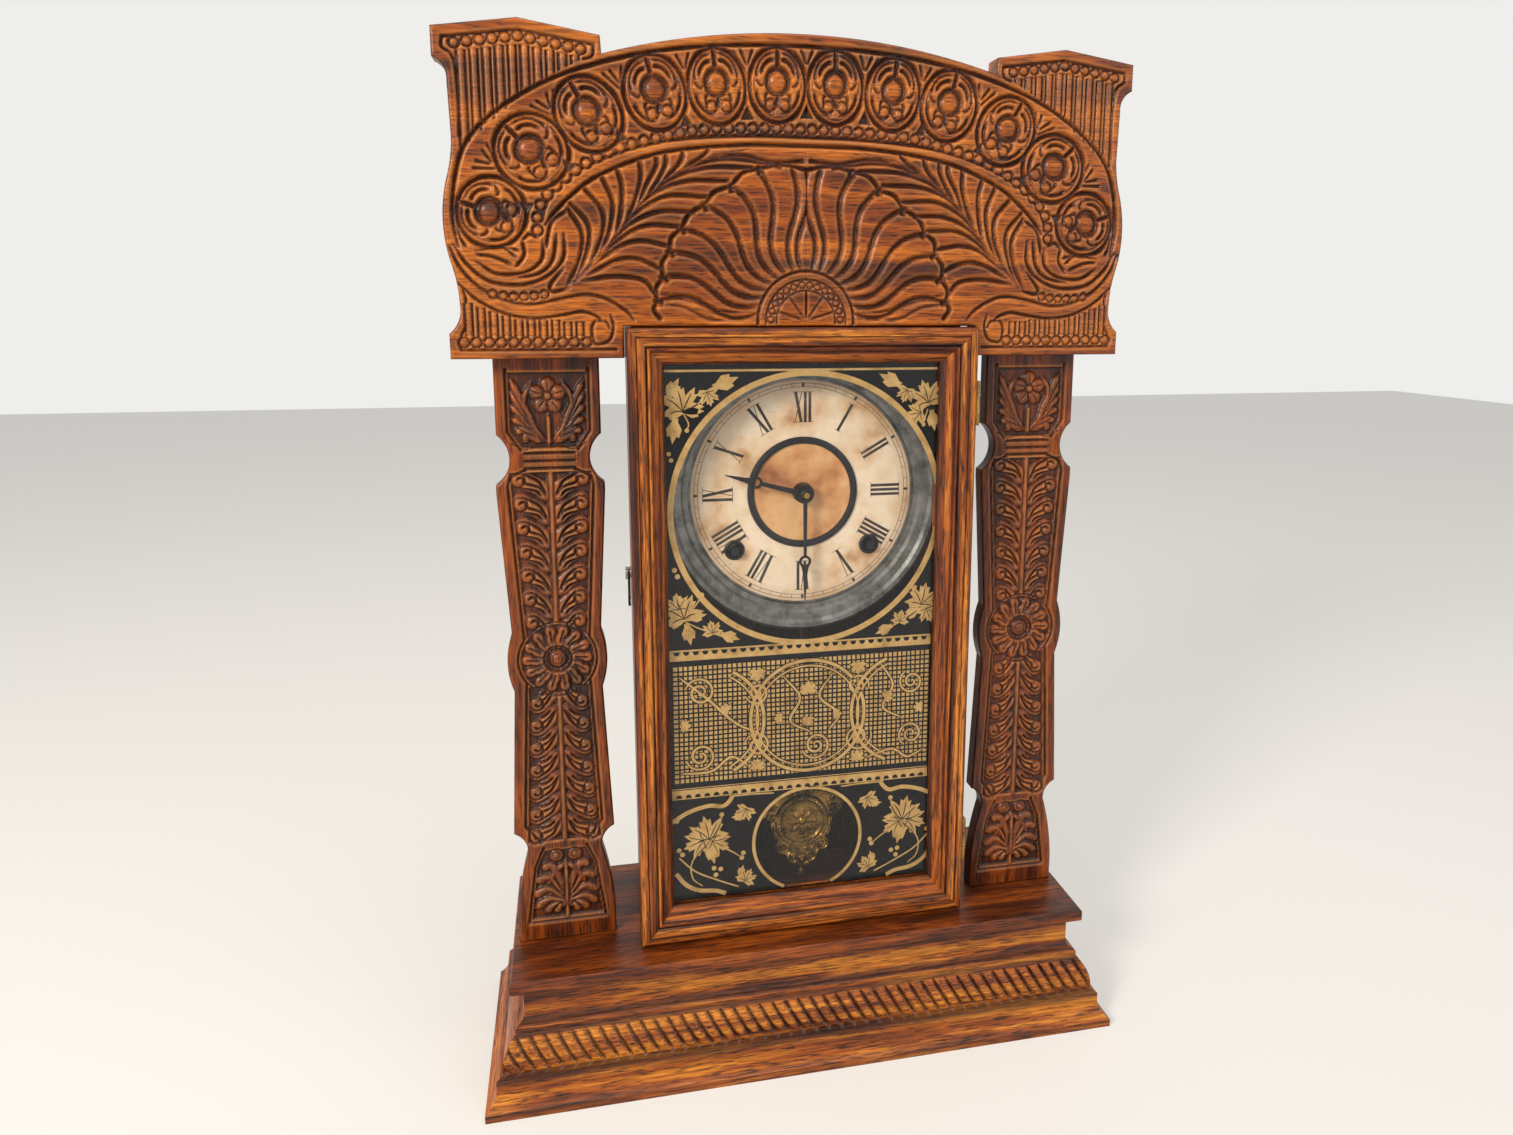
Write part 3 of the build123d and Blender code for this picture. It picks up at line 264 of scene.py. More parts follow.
def ridge(panel, points, width=1.2, height=1.2, ground=-2.0, curved=True, taper=(0.4, 0.4)):
    """A raised rounded line that stands on the ground."""
    for area, away, size in along_stroke(panel, points, width, curved, taper):
        near = np.clip(1 - (away / (width * size)) ** 2, 0, 1)
        rise = ground + height * size * np.sqrt(near)
        panel["depth"][area] = np.where(near > 0, np.maximum(panel["depth"][area], rise),
                                        panel["depth"][area])


def bead(panel, x, z, rx, rz=None, lean=0.0, height=2.0, ground=-2.4, moat=0.9):
    """A domed bead in a sunk place. lean turns an oval bead, in degrees anticlockwise."""
    rz = rz or rx
    reach = max(rx, rz) + moat
    area = window(panel, x - reach, x + reach, z - reach, z + reach)
    gx, gz = panel["x"][area] - x, panel["z"][area] - z
    c, s = math.cos(math.radians(lean)), math.sin(math.radians(lean))
    u, v = (gx * c + gz * s) / rx, (gz * c - gx * s) / rz
    out = np.hypot(u, v)
    edge = 1 + moat / max(rx, rz)
    low = np.where(out < edge, np.minimum(panel["depth"][area],
                                          ground * np.clip((edge - out) / (edge - 1), 0, 1)),
                   panel["depth"][area])
    dome = ground + height * np.sqrt(np.clip(1 - out ** 2, 0, 1))
    panel["depth"][area] = np.where(out < 1, np.maximum(low, dome), low)


def inside(outline, gx, gz):
    """Which points lie inside a closed outline."""
    result = np.zeros(gx.shape, bool)
    for (ax, az), (bx, bz) in zip(outline, np.roll(outline, -1, axis=0)):
        if az == bz:
            continue
        crosses = (gz < az) != (gz < bz)
        result ^= crosses & (gx < (bx - ax) * (gz - az) / (bz - az) + ax)
    return result


def sink(panel, outline, level, slope=1.2):
    """Lowers the ground inside an outline, with sloped walls."""
    o = np.array(outline, float)
    area = window(panel, o[:, 0].min(), o[:, 0].max(), o[:, 1].min(), o[:, 1].max())
    gx, gz = panel["x"][area], panel["z"][area]
    away = np.full(gx.shape, 1e9)
    for a, b in zip(o, np.roll(o, -1, axis=0)):
        away = np.minimum(away, distance_to_run(gx, gz, a, b)[0])
    lowered = level * np.clip(away / slope, 0, 1)
    panel["depth"][area] = np.where(inside(o, gx, gz), np.minimum(panel["depth"][area], lowered),
                                    panel["depth"][area])


# %% [markdown]
# Outlines and strokes are drawn from rounds, as with compasses. A round is given either by its centre and
# its size, or by three points that it passes through, which are easy to read off a picture.

# %% Rounds
def arc(centre, radius, start, end, count=24):
    """Points on a round, from one direction to another in degrees."""
    return [(centre[0] + radius * math.cos(math.radians(start + (end - start) * k / count)),
             centre[1] + radius * math.sin(math.radians(start + (end - start) * k / count)))
            for k in range(count + 1)]


def through(a, b, c, count=16):
    """Points on the round that passes through three points."""
    ax, az, bx, bz, cx, cz = *a, *b, *c
    d = 2 * (ax * (bz - cz) + bx * (cz - az) + cx * (az - bz))
    sa, sb, sc = ax ** 2 + az ** 2, bx ** 2 + bz ** 2, cx ** 2 + cz ** 2
    ux = (sa * (bz - cz) + sb * (cz - az) + sc * (az - bz)) / d
    uz = (sa * (cx - bx) + sb * (ax - cx) + sc * (bx - ax)) / d
    radius = math.hypot(ax - ux, az - uz)
    angles = [math.degrees(math.atan2(q[1] - uz, q[0] - ux)) for q in (a, b, c)]
    turn_way = 1 if (bx - ax) * (cz - bz) - (bz - az) * (cx - bx) > 0 else -1
    sweep = (angles[2] - angles[0]) * turn_way % 360
    return arc((ux, uz), radius, angles[0], angles[0] + turn_way * sweep, count)


# %% [markdown]
# A carved board is the sheet cut to the board's outline. The points next to the outline are drawn onto
# it, the rim is carried back to the board's back face, and one flat face closes it. So the piece is a
# closed solid of the board's real thickness.

# %% Boards from sheets
def attach(piece, body, node):
    """The piece rides its body, and takes the solid's place if one is named."""
    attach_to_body(piece, body)
    if node:
        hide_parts(node)
    return piece


def soften(sheet, reach):
    """The mean height around each point, over a square of reach points to each side."""
    for axis in (0, 1):
        padded = np.concatenate([np.repeat(np.take(sheet, [0], axis), reach + 1, axis), sheet,
                                 np.repeat(np.take(sheet, [-1], axis), reach, axis)], axis)
        total = np.cumsum(padded, axis)
        size = sheet.shape[axis]
        high = np.take(total, range(2 * reach + 1, 2 * reach + 1 + size), axis)
        low = np.take(total, range(0, size), axis)
        sheet = (high - low) / (2 * reach + 1)
    return sheet


def nearest_on_outline(panel, outline, reach):
    """For every point within reach of the outline: how far it is, and the place on the outline."""
    gx, gz = panel["x"], panel["z"]
    nearest = np.full(gx.shape, 1e9)
    snap_x, snap_z = gx.copy(), gz.copy()
    for a, b in zip(outline, np.roll(outline, -1, axis=0)):
        area = window(panel, min(a[0], b[0]) - reach, max(a[0], b[0]) + reach,
                      min(a[1], b[1]) - reach, max(a[1], b[1]) + reach)
        away, share = distance_to_run(gx[area], gz[area], a, b)
        closer = away < nearest[area]
        nearest[area] = np.where(closer, away, nearest[area])
        snap_x[area] = np.where(closer, a[0] + share * (b[0] - a[0]), snap_x[area])
        snap_z[area] = np.where(closer, a[1] + share * (b[1] - a[1]), snap_z[area])
    return nearest, snap_x, snap_z


def border_loop(quads, total):
    """The points round the border of a sheet of quads, in order."""
    edges = np.concatenate([quads[:, [k, (k + 1) % 4]] for k in range(4)])
    forward_ids = edges[:, 0].astype(np.int64) * total + edges[:, 1]
    backward_ids = edges[:, 1].astype(np.int64) * total + edges[:, 0]
    border = edges[~np.isin(forward_ids, backward_ids)]
    following = dict(zip(border[:, 0].tolist(), border[:, 1].tolist()))
    loop = [border[0, 0]]
    while following[int(loop[-1])] != loop[0]:
        loop.append(following[int(loop[-1])])
    return np.array(loop)


def stain_and_shade_layers(mesh, depth, pitch, numbers, behind_count):
    """Writes how sunk and how proud each point of the carving lies: stain and painted shade in the hollows,
    wear and a painted highlight on the proud edges. The points behind get none."""
    around = soften(depth, max(2, int(round(1.5 / pitch))))
    # Hollows darken for the stain that settles there and as painted shade; proud edges lighten for wear and
    # as a painted highlight.
    sunk = 0.5 * np.clip(-depth / 3.2, 0, 1) ** 1.4 + 0.75 * np.clip((around - depth) / 0.9, 0, 1)
    proud = np.clip((depth - around - 0.12) / 0.8, 0, 1) * np.clip(1.3 + depth, 0, 1) * 0.55
    for label, value in (("recess", np.clip(sunk, 0, 0.94)), ("rubbed", proud)):
        layer = mesh.attributes.new(label, "FLOAT", "POINT")
        values = np.concatenate([value.ravel()[numbers], np.zeros(behind_count)])
        layer.data.foreach_set("value", values.astype(np.float32))


def carved_board(name, panel, outline, front, back, material, edge=1.4, split=None):
    """The board as a mesh object. front and back are its faces in millimetres. split keeps x above or
    below 0."""
    outline = np.array(outline, float)
    xs, zs, depth = panel["xs"], panel["zs"], panel["depth"].copy()
    pitch = xs[1] - xs[0]
    cx, cz = np.meshgrid((xs[1:] + xs[:-1]) / 2, (zs[1:] + zs[:-1]) / 2)
    keep = inside(outline, cx, cz)
    nearest, snap_x, snap_z = nearest_on_outline(panel, outline, edge + 2 * pitch)
    used = np.zeros(depth.shape, int)
    for dj in (0, 1):
        for di in (0, 1):
            used[dj:dj + keep.shape[0], di:di + keep.shape[1]] += keep
    rim = (used > 0) & (used < 4) & (nearest < 1.6 * pitch)
    depth -= 0.9 * np.clip(1 - nearest / edge, 0, 1) ** 2
    depth[rim] = np.minimum(depth[rim], -0.9)
    gx, gz = np.where(rim, snap_x, panel["x"]), np.where(rim, snap_z, panel["z"])
    if split:
        keep &= (cx * split > 0)

    rows, cols = np.nonzero(keep)
    corner = rows * len(xs) + cols
    quads = np.stack([corner, corner + 1, corner + len(xs) + 1, corner + len(xs)], 1)
    numbers = np.unique(quads)
    renumber = np.full(depth.size, -1)
    renumber[numbers] = np.arange(len(numbers))
    ring = renumber[border_loop(quads, depth.size)]
    points = np.stack([v.ravel()[numbers] for v in (gx, front - depth, gz)], 1)
    behind = points[ring].copy()
    behind[:, 1] = back
    base, count = len(points), len(ring)
    around = np.arange(count)
    later = np.roll(around, -1)
    walls = np.stack([ring[later], ring, base + around, base + later], 1)
    faces = renumber[quads].tolist() + walls.tolist() + [(base + around)[::-1].tolist()]

    mesh = bpy.data.meshes.new(name)
    mesh.from_pydata((np.vstack([points, behind]) / 1000).tolist(), [], faces)
    stain_and_shade_layers(mesh, depth, pitch, numbers, count)
    mesh.polygons.foreach_set("use_smooth", np.arange(len(faces)) < len(quads))
    mesh.materials.append(material)
    mesh.update()
    piece = bpy.data.objects.new(name, mesh)
    bpy.context.scene.collection.objects.link(piece)
    print(name, "triangles", 2 * len(quads) + 3 * count)
    return piece


# %% [markdown]
# The crest is one oak board: an arch that springs between two capped posts, notched below for the door.
# Its carving is drawn for the right half, in eighths of a millimetre from the middle line and down from
# a line 599.6 mm above the table, and mirrored for the left.

# %% The crest's outline
ARCH_CROWN = 593.0
ARCH_END = (108.5, 577.8)
FLAT_TOP = 599.6


def crest(x, y):
    """A point of the crest's drawing in millimetres."""
    return (x / 8, FLAT_TOP - y / 8)


def crest_line(*points):
    """Points of the crest's drawing in millimetres."""
    return [crest(*p) for p in points]


half = through((0, ARCH_CROWN), (54.25, ARCH_CROWN - 3.7), ARCH_END, 30)
half += [(109.0, 586.7), (150.0, 593.0), (192.0, 586.9)]
half += through((192.0, 572.4), (187.2, 568.6), (185.3, 561.0), 8)
half += through((184.6, 534.0), (185.6, 523.6), (188.0, 513.5), 8)
half += through((188.0, 513.5), (190.8, 492.6), (188.0, 471.7), 16)[1:]
half += through((188.0, 471.7), (185.6, 461.6), (184.6, 450.5), 8)[1:]
half += through((184.6, 450.5), (186.4, 440.0), (190.6, 435.0), 8)[1:]
half += [(190.6, 421.8), (100.6, 421.8), (100.6, 438.7)]
crest_outline = half + [(-x, z) for x, z in reversed(half) if x > 0.01]
print("crest outline points", len(crest_outline))

# %% [markdown]
# The crest's face: a plain band follows the arch, and inside it eleven roundels, a row of beads, a second
# band, two half acanthus leaves and a sunburst over a half rosette. The posts carry reeds and beads.

# %% The bands and the roundels
ROUNDELS = [(16.0, 566.6, 0), (48.7, 564.6, -6), (81.3, 560.0, -14), (115.8, 547.6, -30),
            (145.2, 528.1, -46), (166.5, 497.2, -72)]
OUTER_BAND = [(0, 102), (240, 108), (480, 128), (700, 165), (900, 218), (1080, 285), (1240, 375),
              (1360, 470),
              (1430, 560), (1465, 660), (1482, 760), (1485, 860), (1470, 960)]
INNER_BAND_TOP = [(0, 474), (240, 476), (480, 492), (660, 520), (820, 568), (960, 632), (1060, 705),
                  (1120, 790),
                  (1130, 850)]
INNER_BAND_LOW = [(0, 512), (240, 514), (460, 532), (640, 562), (790, 612), (920, 675), (1010, 745),
                  (1075, 810),
                  (1118, 866)]
BEAD_ROW = [(0, 442), (240, 446), (440, 458), (600, 488), (760, 530), (860, 568), (960, 622), (1050, 690),
            (1120, 762), (1148, 830), (1150, 900)]


def spaced(points, gap, first=0.0):
    """Places at an even gap along a curve."""
    line = smooth(points, 12)
    lengths = np.concatenate([[0], np.cumsum(np.hypot(*np.diff(line, axis=0).T))])
    marks = np.arange(first, lengths[-1], gap)
    return np.stack([np.interp(marks, lengths, line[:, 0]), np.interp(marks, lengths, line[:, 1])], 1)


def roundel(panel, x, z, lean, wide=15.2, tall=19.2):
    """A berry in a curled leaf: a ring, three curls a side, a notch at the crown, and twin balls at the
    foot."""
    c, s = math.cos(math.radians(lean)), math.sin(math.radians(lean))
    su, sv = wide / 15.2, tall / 19.2

    def at(u, v):
        return (x + u * su * c - v * sv * s, z + u * su * s + v * sv * c)

    def cut(points, width=2.3, depth=2.8, taper=(0.3, 0.3)):
        groove(panel, [at(*p) for p in points], width, depth, taper)

    turn_round = np.linspace(0, 2 * math.pi, 33)
    groove(panel, [at(15.4 * math.cos(a), 19.4 * math.sin(a)) for a in turn_round], 2.5, 3.6, (1, 1),
           sharp=1.4)
    groove(panel, [at(12.9 * math.cos(a), 16.9 * math.sin(a)) for a in turn_round], 1.3, 1.7, (1, 1))
    groove(panel, [at(6.0 * math.cos(a), 1.6 + 6.8 * math.sin(a)) for a in turn_round], 2.4, 3.4, (1, 1),
           sharp=1.3)
    for side in (-1, 1):
        cut([(side * 1.0, 16.4), (side * 5.6, 15.4), (side * 9.6, 11.6), (side * 11.4, 6.0),
             (side * 11.2, 2.4)])
        cut([(side * 1.4, 12.6), (side * 4.8, 12.2), (side * 8.0, 9.0), (side * 9.4, 4.6)], 2.6, 3.2)
        cut([(side * 12.6, 3.8), (side * 10.2, 0.4), (side * 8.6, -0.6), (side * 7.0, 0.6)], 1.9, 2.2)
        cut([(side * 12.0, -2.0), (side * 10.8, -7.6), (side * 7.2, -12.4), (side * 2.0, -15.2)], 2.6, 3.2)
        cut([(side * 3.6, -4.8), (side * 6.0, -4.6), (side * 6.6, -7.4), (side * 6.2, -11.0)], 2.0, 2.7)
        bead(panel, *at(side * 3.9, -10.2), 2.9 * su, 3.2 * sv, lean + side * 20, 2.6, -3.0, 0.9)
    groove(panel, [at(0, 17.8), at(0, 8.8)], 2.3, 3.4, (1, 0.6), sharp=1.3, curved=False)
    groove(panel, [at(-0.6, -6.0), at(0.6, -9.6)], 3.2, 3.8, (1, 1), sharp=1.2, curved=False)
    bead(panel, *at(0, 1.6), 5.0 * su, 5.8 * sv, lean, 2.9, -3.2, 1.6)


def carve_bands(panel):
    """The three bands, the row of beads and the roundels."""
    for edge in (OUTER_BAND, INNER_BAND_TOP, INNER_BAND_LOW):
        groove(panel, crest_line(*edge), 2.1, 3.4, (1, 0.6), sharp=1.5)
    for x, z in spaced(crest_line(*BEAD_ROW), 6.55, 3.2):
        bead(panel, x, z, 2.75, height=2.6, ground=-2.9, moat=0.9)
    for k, (x, z, lean) in enumerate(ROUNDELS):
        wide, tall = ((15.2, 19.2), (15.2, 19.2), (16.0, 19.0), (16.6, 19.2), (18.4, 18.8), (17.6, 17.2))[k]
        roundel(panel, x, z, lean, wide, tall)


def carve_spandrels(panel):
    """The small leaves that fill the gaps between roundels, above and below."""
    gaps = [(0.0, 577.0, 0), (32.5, 575.2, -3), (65.6, 571.4, -9), (99.0, 563.0, -18), (134.5, 548.5, -36),
            (164.5, 521.0, -58)]
    for x, z, lean in gaps:
        c, s = math.cos(math.radians(lean)), math.sin(math.radians(lean))
        for u0, v0, u1, v1 in ((-7.0, 7.4, -0.8, -2.4), (-3.2, 8.0, -0.3, 0.6), (3.2, 8.0, 0.3, 0.6),
                               (7.0, 7.4, 0.8, -2.4)):
            groove(panel, [(x + u0 * c - v0 * s, z + u0 * s + v0 * c),
                           (x + u1 * c - v1 * s, z + u1 * s + v1 * c)],
                   1.7, 2.5, (0.9, 0.5), curved=False)
    feet = [(0.0, 552.5, 0), (32.6, 550.6, -2), (65.5, 546.0, -9), (100.0, 537.0, -22), (127.0, 521.5, -42),
            (149.0, 500.5, -60)]
    for x, z, lean in feet:
        c, s = math.cos(math.radians(lean)), math.sin(math.radians(lean))
        corners = [(0, 6.4), (4.2, -3.0), (-4.2, -3.0)]
        sink(panel, [(x + u * c - v * s, z + u * s + v * c) for u, v in corners], -3.0, 1.2)
        groove(panel, [(x, z - 1.0), (x - 3.0 * s, z + 3.0 * c)], 1.0, 3.4, (1, 1), curved=False)


# %% [markdown]
# The middle of the crest is a sunburst whose flames swing out to a scalloped edge. Half an acanthus leaf
# springs on each side, and scrolls fill the corners. Each line was measured as a few points.

# %% The sunburst, the acanthus leaves and the scrolls
ROSE = (0.0, 441.6)
BURST_EDGE = [(0, 612), (210, 612), (335, 690), (450, 772), (550, 872), (602, 970), (632, 1080),
              (658, 1180),
              (650, 1252)]


def carve_sunburst(panel):
    """Ten flames a side. Each line leaves the rosette and swings out, in and out again to the edge."""
    ends = [(0, 612), (62, 612), (215, 618), (325, 690), (440, 770), (545, 872), (598, 970), (628, 1076),
            (650, 1176)]
    for k, end in enumerate(ends):
        angle = 90 - 6 - k * 9.4
        start = (ROSE[0] + 27.5 * math.cos(math.radians(angle)),
                 ROSE[1] + 27.5 * math.sin(math.radians(angle)))
        stop = crest(*end)
        dx, dz = stop[0] - start[0], stop[1] - start[1]
        length = math.hypot(dx, dz)
        swing = 4.6 if k > 1 else 3.2
        line = []
        for share in np.linspace(0, 1, 9):
            off = swing * math.sin(2 * math.pi * share) * (1 - 0.25 * share)
            line.append((start[0] + dx * share + dz / length * off,
                         start[1] + dz * share - dx / length * off))
        groove(panel, line, 3.1, 2.9, (0.35, 0.9), sharp=1.7)
    groove(panel, [crest(240, 1228), crest(380, 1222), crest(500, 1180), crest(640, 1150)], 2.6, 2.0,
           (0.3, 0.8))
    groove(panel, [crest(330, 1262), crest(440, 1254), crest(540, 1206), crest(640, 1190)], 2.2, 1.8,
           (0.3, 0.8))
    for k in range(len(BURST_EDGE) - 1):
        a, b = crest(*BURST_EDGE[k]), crest(*BURST_EDGE[k + 1])
        middle = ((a[0] + b[0]) / 2, (a[1] + b[1]) / 2)
        out = (middle[0] - ROSE[0], middle[1] - ROSE[1])
        size = math.hypot(*out)
        bulge = (middle[0] + 2.6 * out[0] / size, middle[1] + 2.6 * out[1] / size)
        groove(panel, [a, bulge, b], 2.3, 3.4, (1, 1), sharp=1.6)
        if k:
            pit = (a[0] - 3.6 * (a[0] - ROSE[0]) / size, a[1] - 3.6 * (a[1] - ROSE[1]) / size)
            groove(panel, [a, pit], 3.4, 3.8, (1, 0.3), sharp=1.2, curved=False)
    for radius, width, depth in ((27.4, 1.6, 2.6), (22.7, 1.2, 2.2), (16.8, 1.2, 2.0)):
        groove(panel, arc(ROSE, radius, -4, 184, 30), width, depth, (1, 1), curved=False)
    for k in range(14):
        angle = 2 + k * 13.6
        bead(panel, ROSE[0] + 19.8 * math.cos(math.radians(angle)),
             ROSE[1] + 19.8 * math.sin(math.radians(angle)),
             1.9, height=1.9, ground=-2.3, moat=0.6)
    for k in range(5):
        angle = math.radians(18 + k * 36)
        groove(panel, [(ROSE[0] + 2 * math.cos(angle), ROSE[1] + 2 * math.sin(angle)),
                       (ROSE[0] + 16 * math.cos(angle), ROSE[1] + 16 * math.sin(angle))], 1.2, 1.7,
                       (0.4, 1),
               curved=False)


LEAF_RIB = [(1010, 1100), (900, 990), (800, 880), (720, 770), (640, 690), (540, 625), (430, 575),
            (300, 545),
            (220, 520)]
INNER_LOBES = [((975, 1095), (840, 1075), (720, 1090), (664, 1150)),
               ((950, 1070), (840, 1010), (740, 1000), (644, 1040)),
               ((925, 1030), (820, 950), (720, 925), (606, 945)),
               ((900, 1000), (790, 900), (690, 860), (560, 862)),
               ((860, 945), (760, 850), (640, 800), (500, 800)),
               ((820, 890), (720, 790), (600, 735), (440, 738)),
               ((760, 810), (650, 715), (520, 672), (350, 668)),
               ((690, 735), (560, 650), (420, 612), (240, 610)),
               ((560, 640), (430, 588), (300, 575), (120, 600)),
               ((420, 575), (280, 560), (150, 585), (20, 575))]
OUTER_LOBES = [((540, 625), (470, 580), (440, 552), (430, 536)),
               ((640, 690), (570, 620), (545, 580), (540, 552)),
               ((700, 750), (650, 680), (615, 610), (612, 566)),
               ((740, 800), (700, 700), (655, 620), (652, 580)),
               ((790, 860), (745, 760), (720, 670), (722, 596)),
               ((830, 915), (805, 800), (800, 700), (818, 630)),
               ((900, 985), (855, 880), (840, 770), (880, 668)),
               ((940, 1030), (885, 900), (885, 800), (955, 715)),
               ((1000, 1090), (950, 960), (945, 860), (1015, 775)),
               ((1040, 1120), (985, 1010), (970, 900), (1022, 800))]


def carve_leaf(panel):
    """Half an acanthus leaf: a rib with lobes that fan to both sides."""
    groove(panel, crest_line(*LEAF_RIB), 2.2, 1.5, (0.8, 0.3))
    for lobes in (INNER_LOBES, OUTER_LOBES):
        for points in lobes:
            groove(panel, crest_line(*points), 2.6, 3.0, (0.35, 1.0), sharp=1.7)
    scrolls = [((1045, 900), (1050, 1000), (1110, 1070), (1220, 1112), (1350, 1100), (1440, 1030),
                (1490, 950)),
               ((1075, 905), (1095, 1010), (1150, 1065), (1250, 1085)),
               ((1020, 800), (1090, 850), (1112, 920), (1120, 960)),
               ((1130, 930), (1140, 1010), (1210, 1062), (1320, 1068), (1400, 1020)),
               ((1215, 930), (1210, 990), (1245, 1040)),
               ((1150, 920), (1185, 905), (1215, 930)),
               ((1240, 1000), (1300, 960), (1400, 975)), ((1260, 1030), (1330, 1000), (1400, 990)),
               ((1225, 975), (1290, 960), (1350, 955)), ((1440, 960), (1462, 920), (1470, 860)),
               ((1030, 1125), (1090, 1140), (1110, 1130), (1100, 1100), (1050, 1040))]
    for points in scrolls:
        groove(panel, crest_line(*points), 2.0, 3.0, (0.5, 0.5), sharp=1.7)
    for k in range(6):
        bead(panel, *crest(1132 + k * 42, 1152 + 10 * math.sin(k * 0.63)), 2.3, height=2.2, ground=-2.7,
             moat=0.7)


FOOT_SCROLL_TOP = [(1505, 960), (1470, 1040), (1400, 1120), (1290, 1178), (1180, 1192), (1060, 1168),
                   (960, 1152),
                   (880, 1168), (800, 1215), (760, 1260)]
FOOT_SCROLL_LOW = [(1478, 1110), (1400, 1180), (1290, 1235), (1170, 1252), (1060, 1238), (980, 1225),
                   (925, 1240),
                   (900, 1262)]


def carve_foot(panel):
    """The S-scroll that ends in a volute, over a row of short reeds and beads."""
    groove(panel, crest_line(*FOOT_SCROLL_TOP), 2.2, 2.8, (0.7, 0.5))
    groove(panel, crest_line(*FOOT_SCROLL_LOW), 1.9, 2.9, (0.7, 0.8))
    groove(panel, crest_line((1450, 1100), (1340, 1165), (1200, 1190), (1080, 1180), (960, 1170)), 1.6, 1.2)
    groove(panel, crest_line((860, 1236), (850, 1290), (868, 1345), (920, 1362), (938, 1340), (940, 1290),
                             (925, 1262)),
           1.7, 2.6, (0.6, 0.8))
    groove(panel, crest_line((862, 1298), (880, 1268), (925, 1262)), 1.5, 2.2, (0.6, 0.8))
    groove(panel, crest_line((840, 1384), (1480, 1384)), 1.6, 2.8, (1, 1), curved=False)
    groove(panel, crest_line((1482, 1380), (1478, 1330), (1452, 1270), (1452, 1170), (1460, 1140)), 1.6,
           2.8, (1, 1))
    for k in range(11):
        bead(panel, *crest(964 + k * 50.4, 1354), 2.75, height=2.5, ground=-2.8, moat=0.8)
    for k in range(10):
        x = 990 + k * 50.4
        top = 1262 + (-34 if k > 5 else 0) * (k - 5) / 2 + (8 if k < 2 else 0)
        ground = [crest(x - 22, top - 6), crest(x + 22, top - 6), crest(x + 22, 1330), crest(x - 22, 1330)]
        sink(panel, ground, -2.6, 0.7)
        ridge(panel, crest_line((x, top + 6), (x, 1318)), 2.0, 2.3, -2.6, curved=False, taper=(1, 1))


def carve_post(panel):
    """The post: a cap with a row of beads under its gable, and ten reeds that run down to the arch."""
    gable = [(900, 142), (1195, 100), (1492, 142)]
    groove(panel, crest_line(*gable), 1.6, 2.8, (1, 1), curved=False)
    groove(panel, crest_line((1492, 142), (1494, 180), (1460, 205), (1445, 260), (1440, 400), (1445, 520)),
           1.6, 2.8,
           (1, 1))
    groove(panel, crest_line((900, 142), (905, 185), (940, 200)), 1.6, 2.6, (1, 1))
    for k in range(11):
        x = 950 + k * 49.8
        drop = 122 + abs(x - 1198) * 0.158
        bead(panel, *crest(x, drop), 2.7, height=2.5, ground=-2.8, moat=0.8)
    for k in range(10):
        x = 975 + k * 49.8
        low = 205 + 0.52 * (x - 975) + 0.00052 * (x - 975) ** 2
        top = 150 + abs(x - 1198) * 0.158
        reed = [crest(x - 24, top), crest(x + 24, top), crest(x + 24, low + 26), crest(x - 24, low)]
        sink(panel, reed, -2.8, 0.7)
        ridge(panel, crest_line((x, top + 12), (x, low + 6)), 2.15, 2.5, -2.8, curved=False, taper=(1, 1))


PITCH = 0.6
crest_panel = new_panel(-192.6, 192.6, 421.2, 593.4, PITCH)
for carve in (carve_post, carve_foot, carve_bands, carve_spandrels, carve_sunburst, carve_leaf):
    carve(crest_panel)
mid = crest_panel["depth"].shape[1] // 2
right_half = crest_panel["depth"][:, mid:]
crest_panel["depth"] = np.hstack([right_half[:, :0:-1], right_half])
HEADER_FRONT, CASE_FRONT = -24.7, -10.7
for side, word in ((-1, "left"), (1, "right")):
    piece = carved_board("crest_" + word, crest_panel, crest_outline, HEADER_FRONT, CASE_FRONT,
                         oak_carved_across,
                         split=side)
    attach(piece, "case", "header_board")

# %% [markdown]
# The columns are flat boards with a shaped edge. A plain border frames four carved fields: a flower over
# leaves, a long spray, a round rosette and a second spray, and a palmette at the foot. One column is
# drawn about its own middle, and both are cut from the same drawing.

# %% The column's outline and carving
COLUMN_CENTRE, COLUMN_BACK = 142.5, -1.2
edge = [(28.3, 480.0), (28.3, 379.5)]
edge += through((28.3, 379.5), (21.8, 365.2), (29.6, 351.4), 14)[1:]
edge += [(29.6, 346.5), (24.9, 265.5)]
edge += through((24.9, 265.5), (28.0, 248.3), (24.9, 231.0), 12)[1:]
edge += [(29.0, 143.0)]
edge += through((29.0, 143.0), (23.4, 138.2), (21.5, 130.8), 8)[1:]
edge += through((21.5, 130.8), (26.2, 110.5), (28.5, 89.5), 12)[1:]
edge += [(28.5, 73.2)]
column_outline = edge + [(-x, z) for x, z in reversed(edge)]


def frame_groove(panel, points):
    """The sunk line inside the plain border, on both sides of the middle."""
    for side in (-1, 1):
        groove(panel, [(side * x, z) for x, z in points], 1.7, 2.7, (1, 1), curved=False)


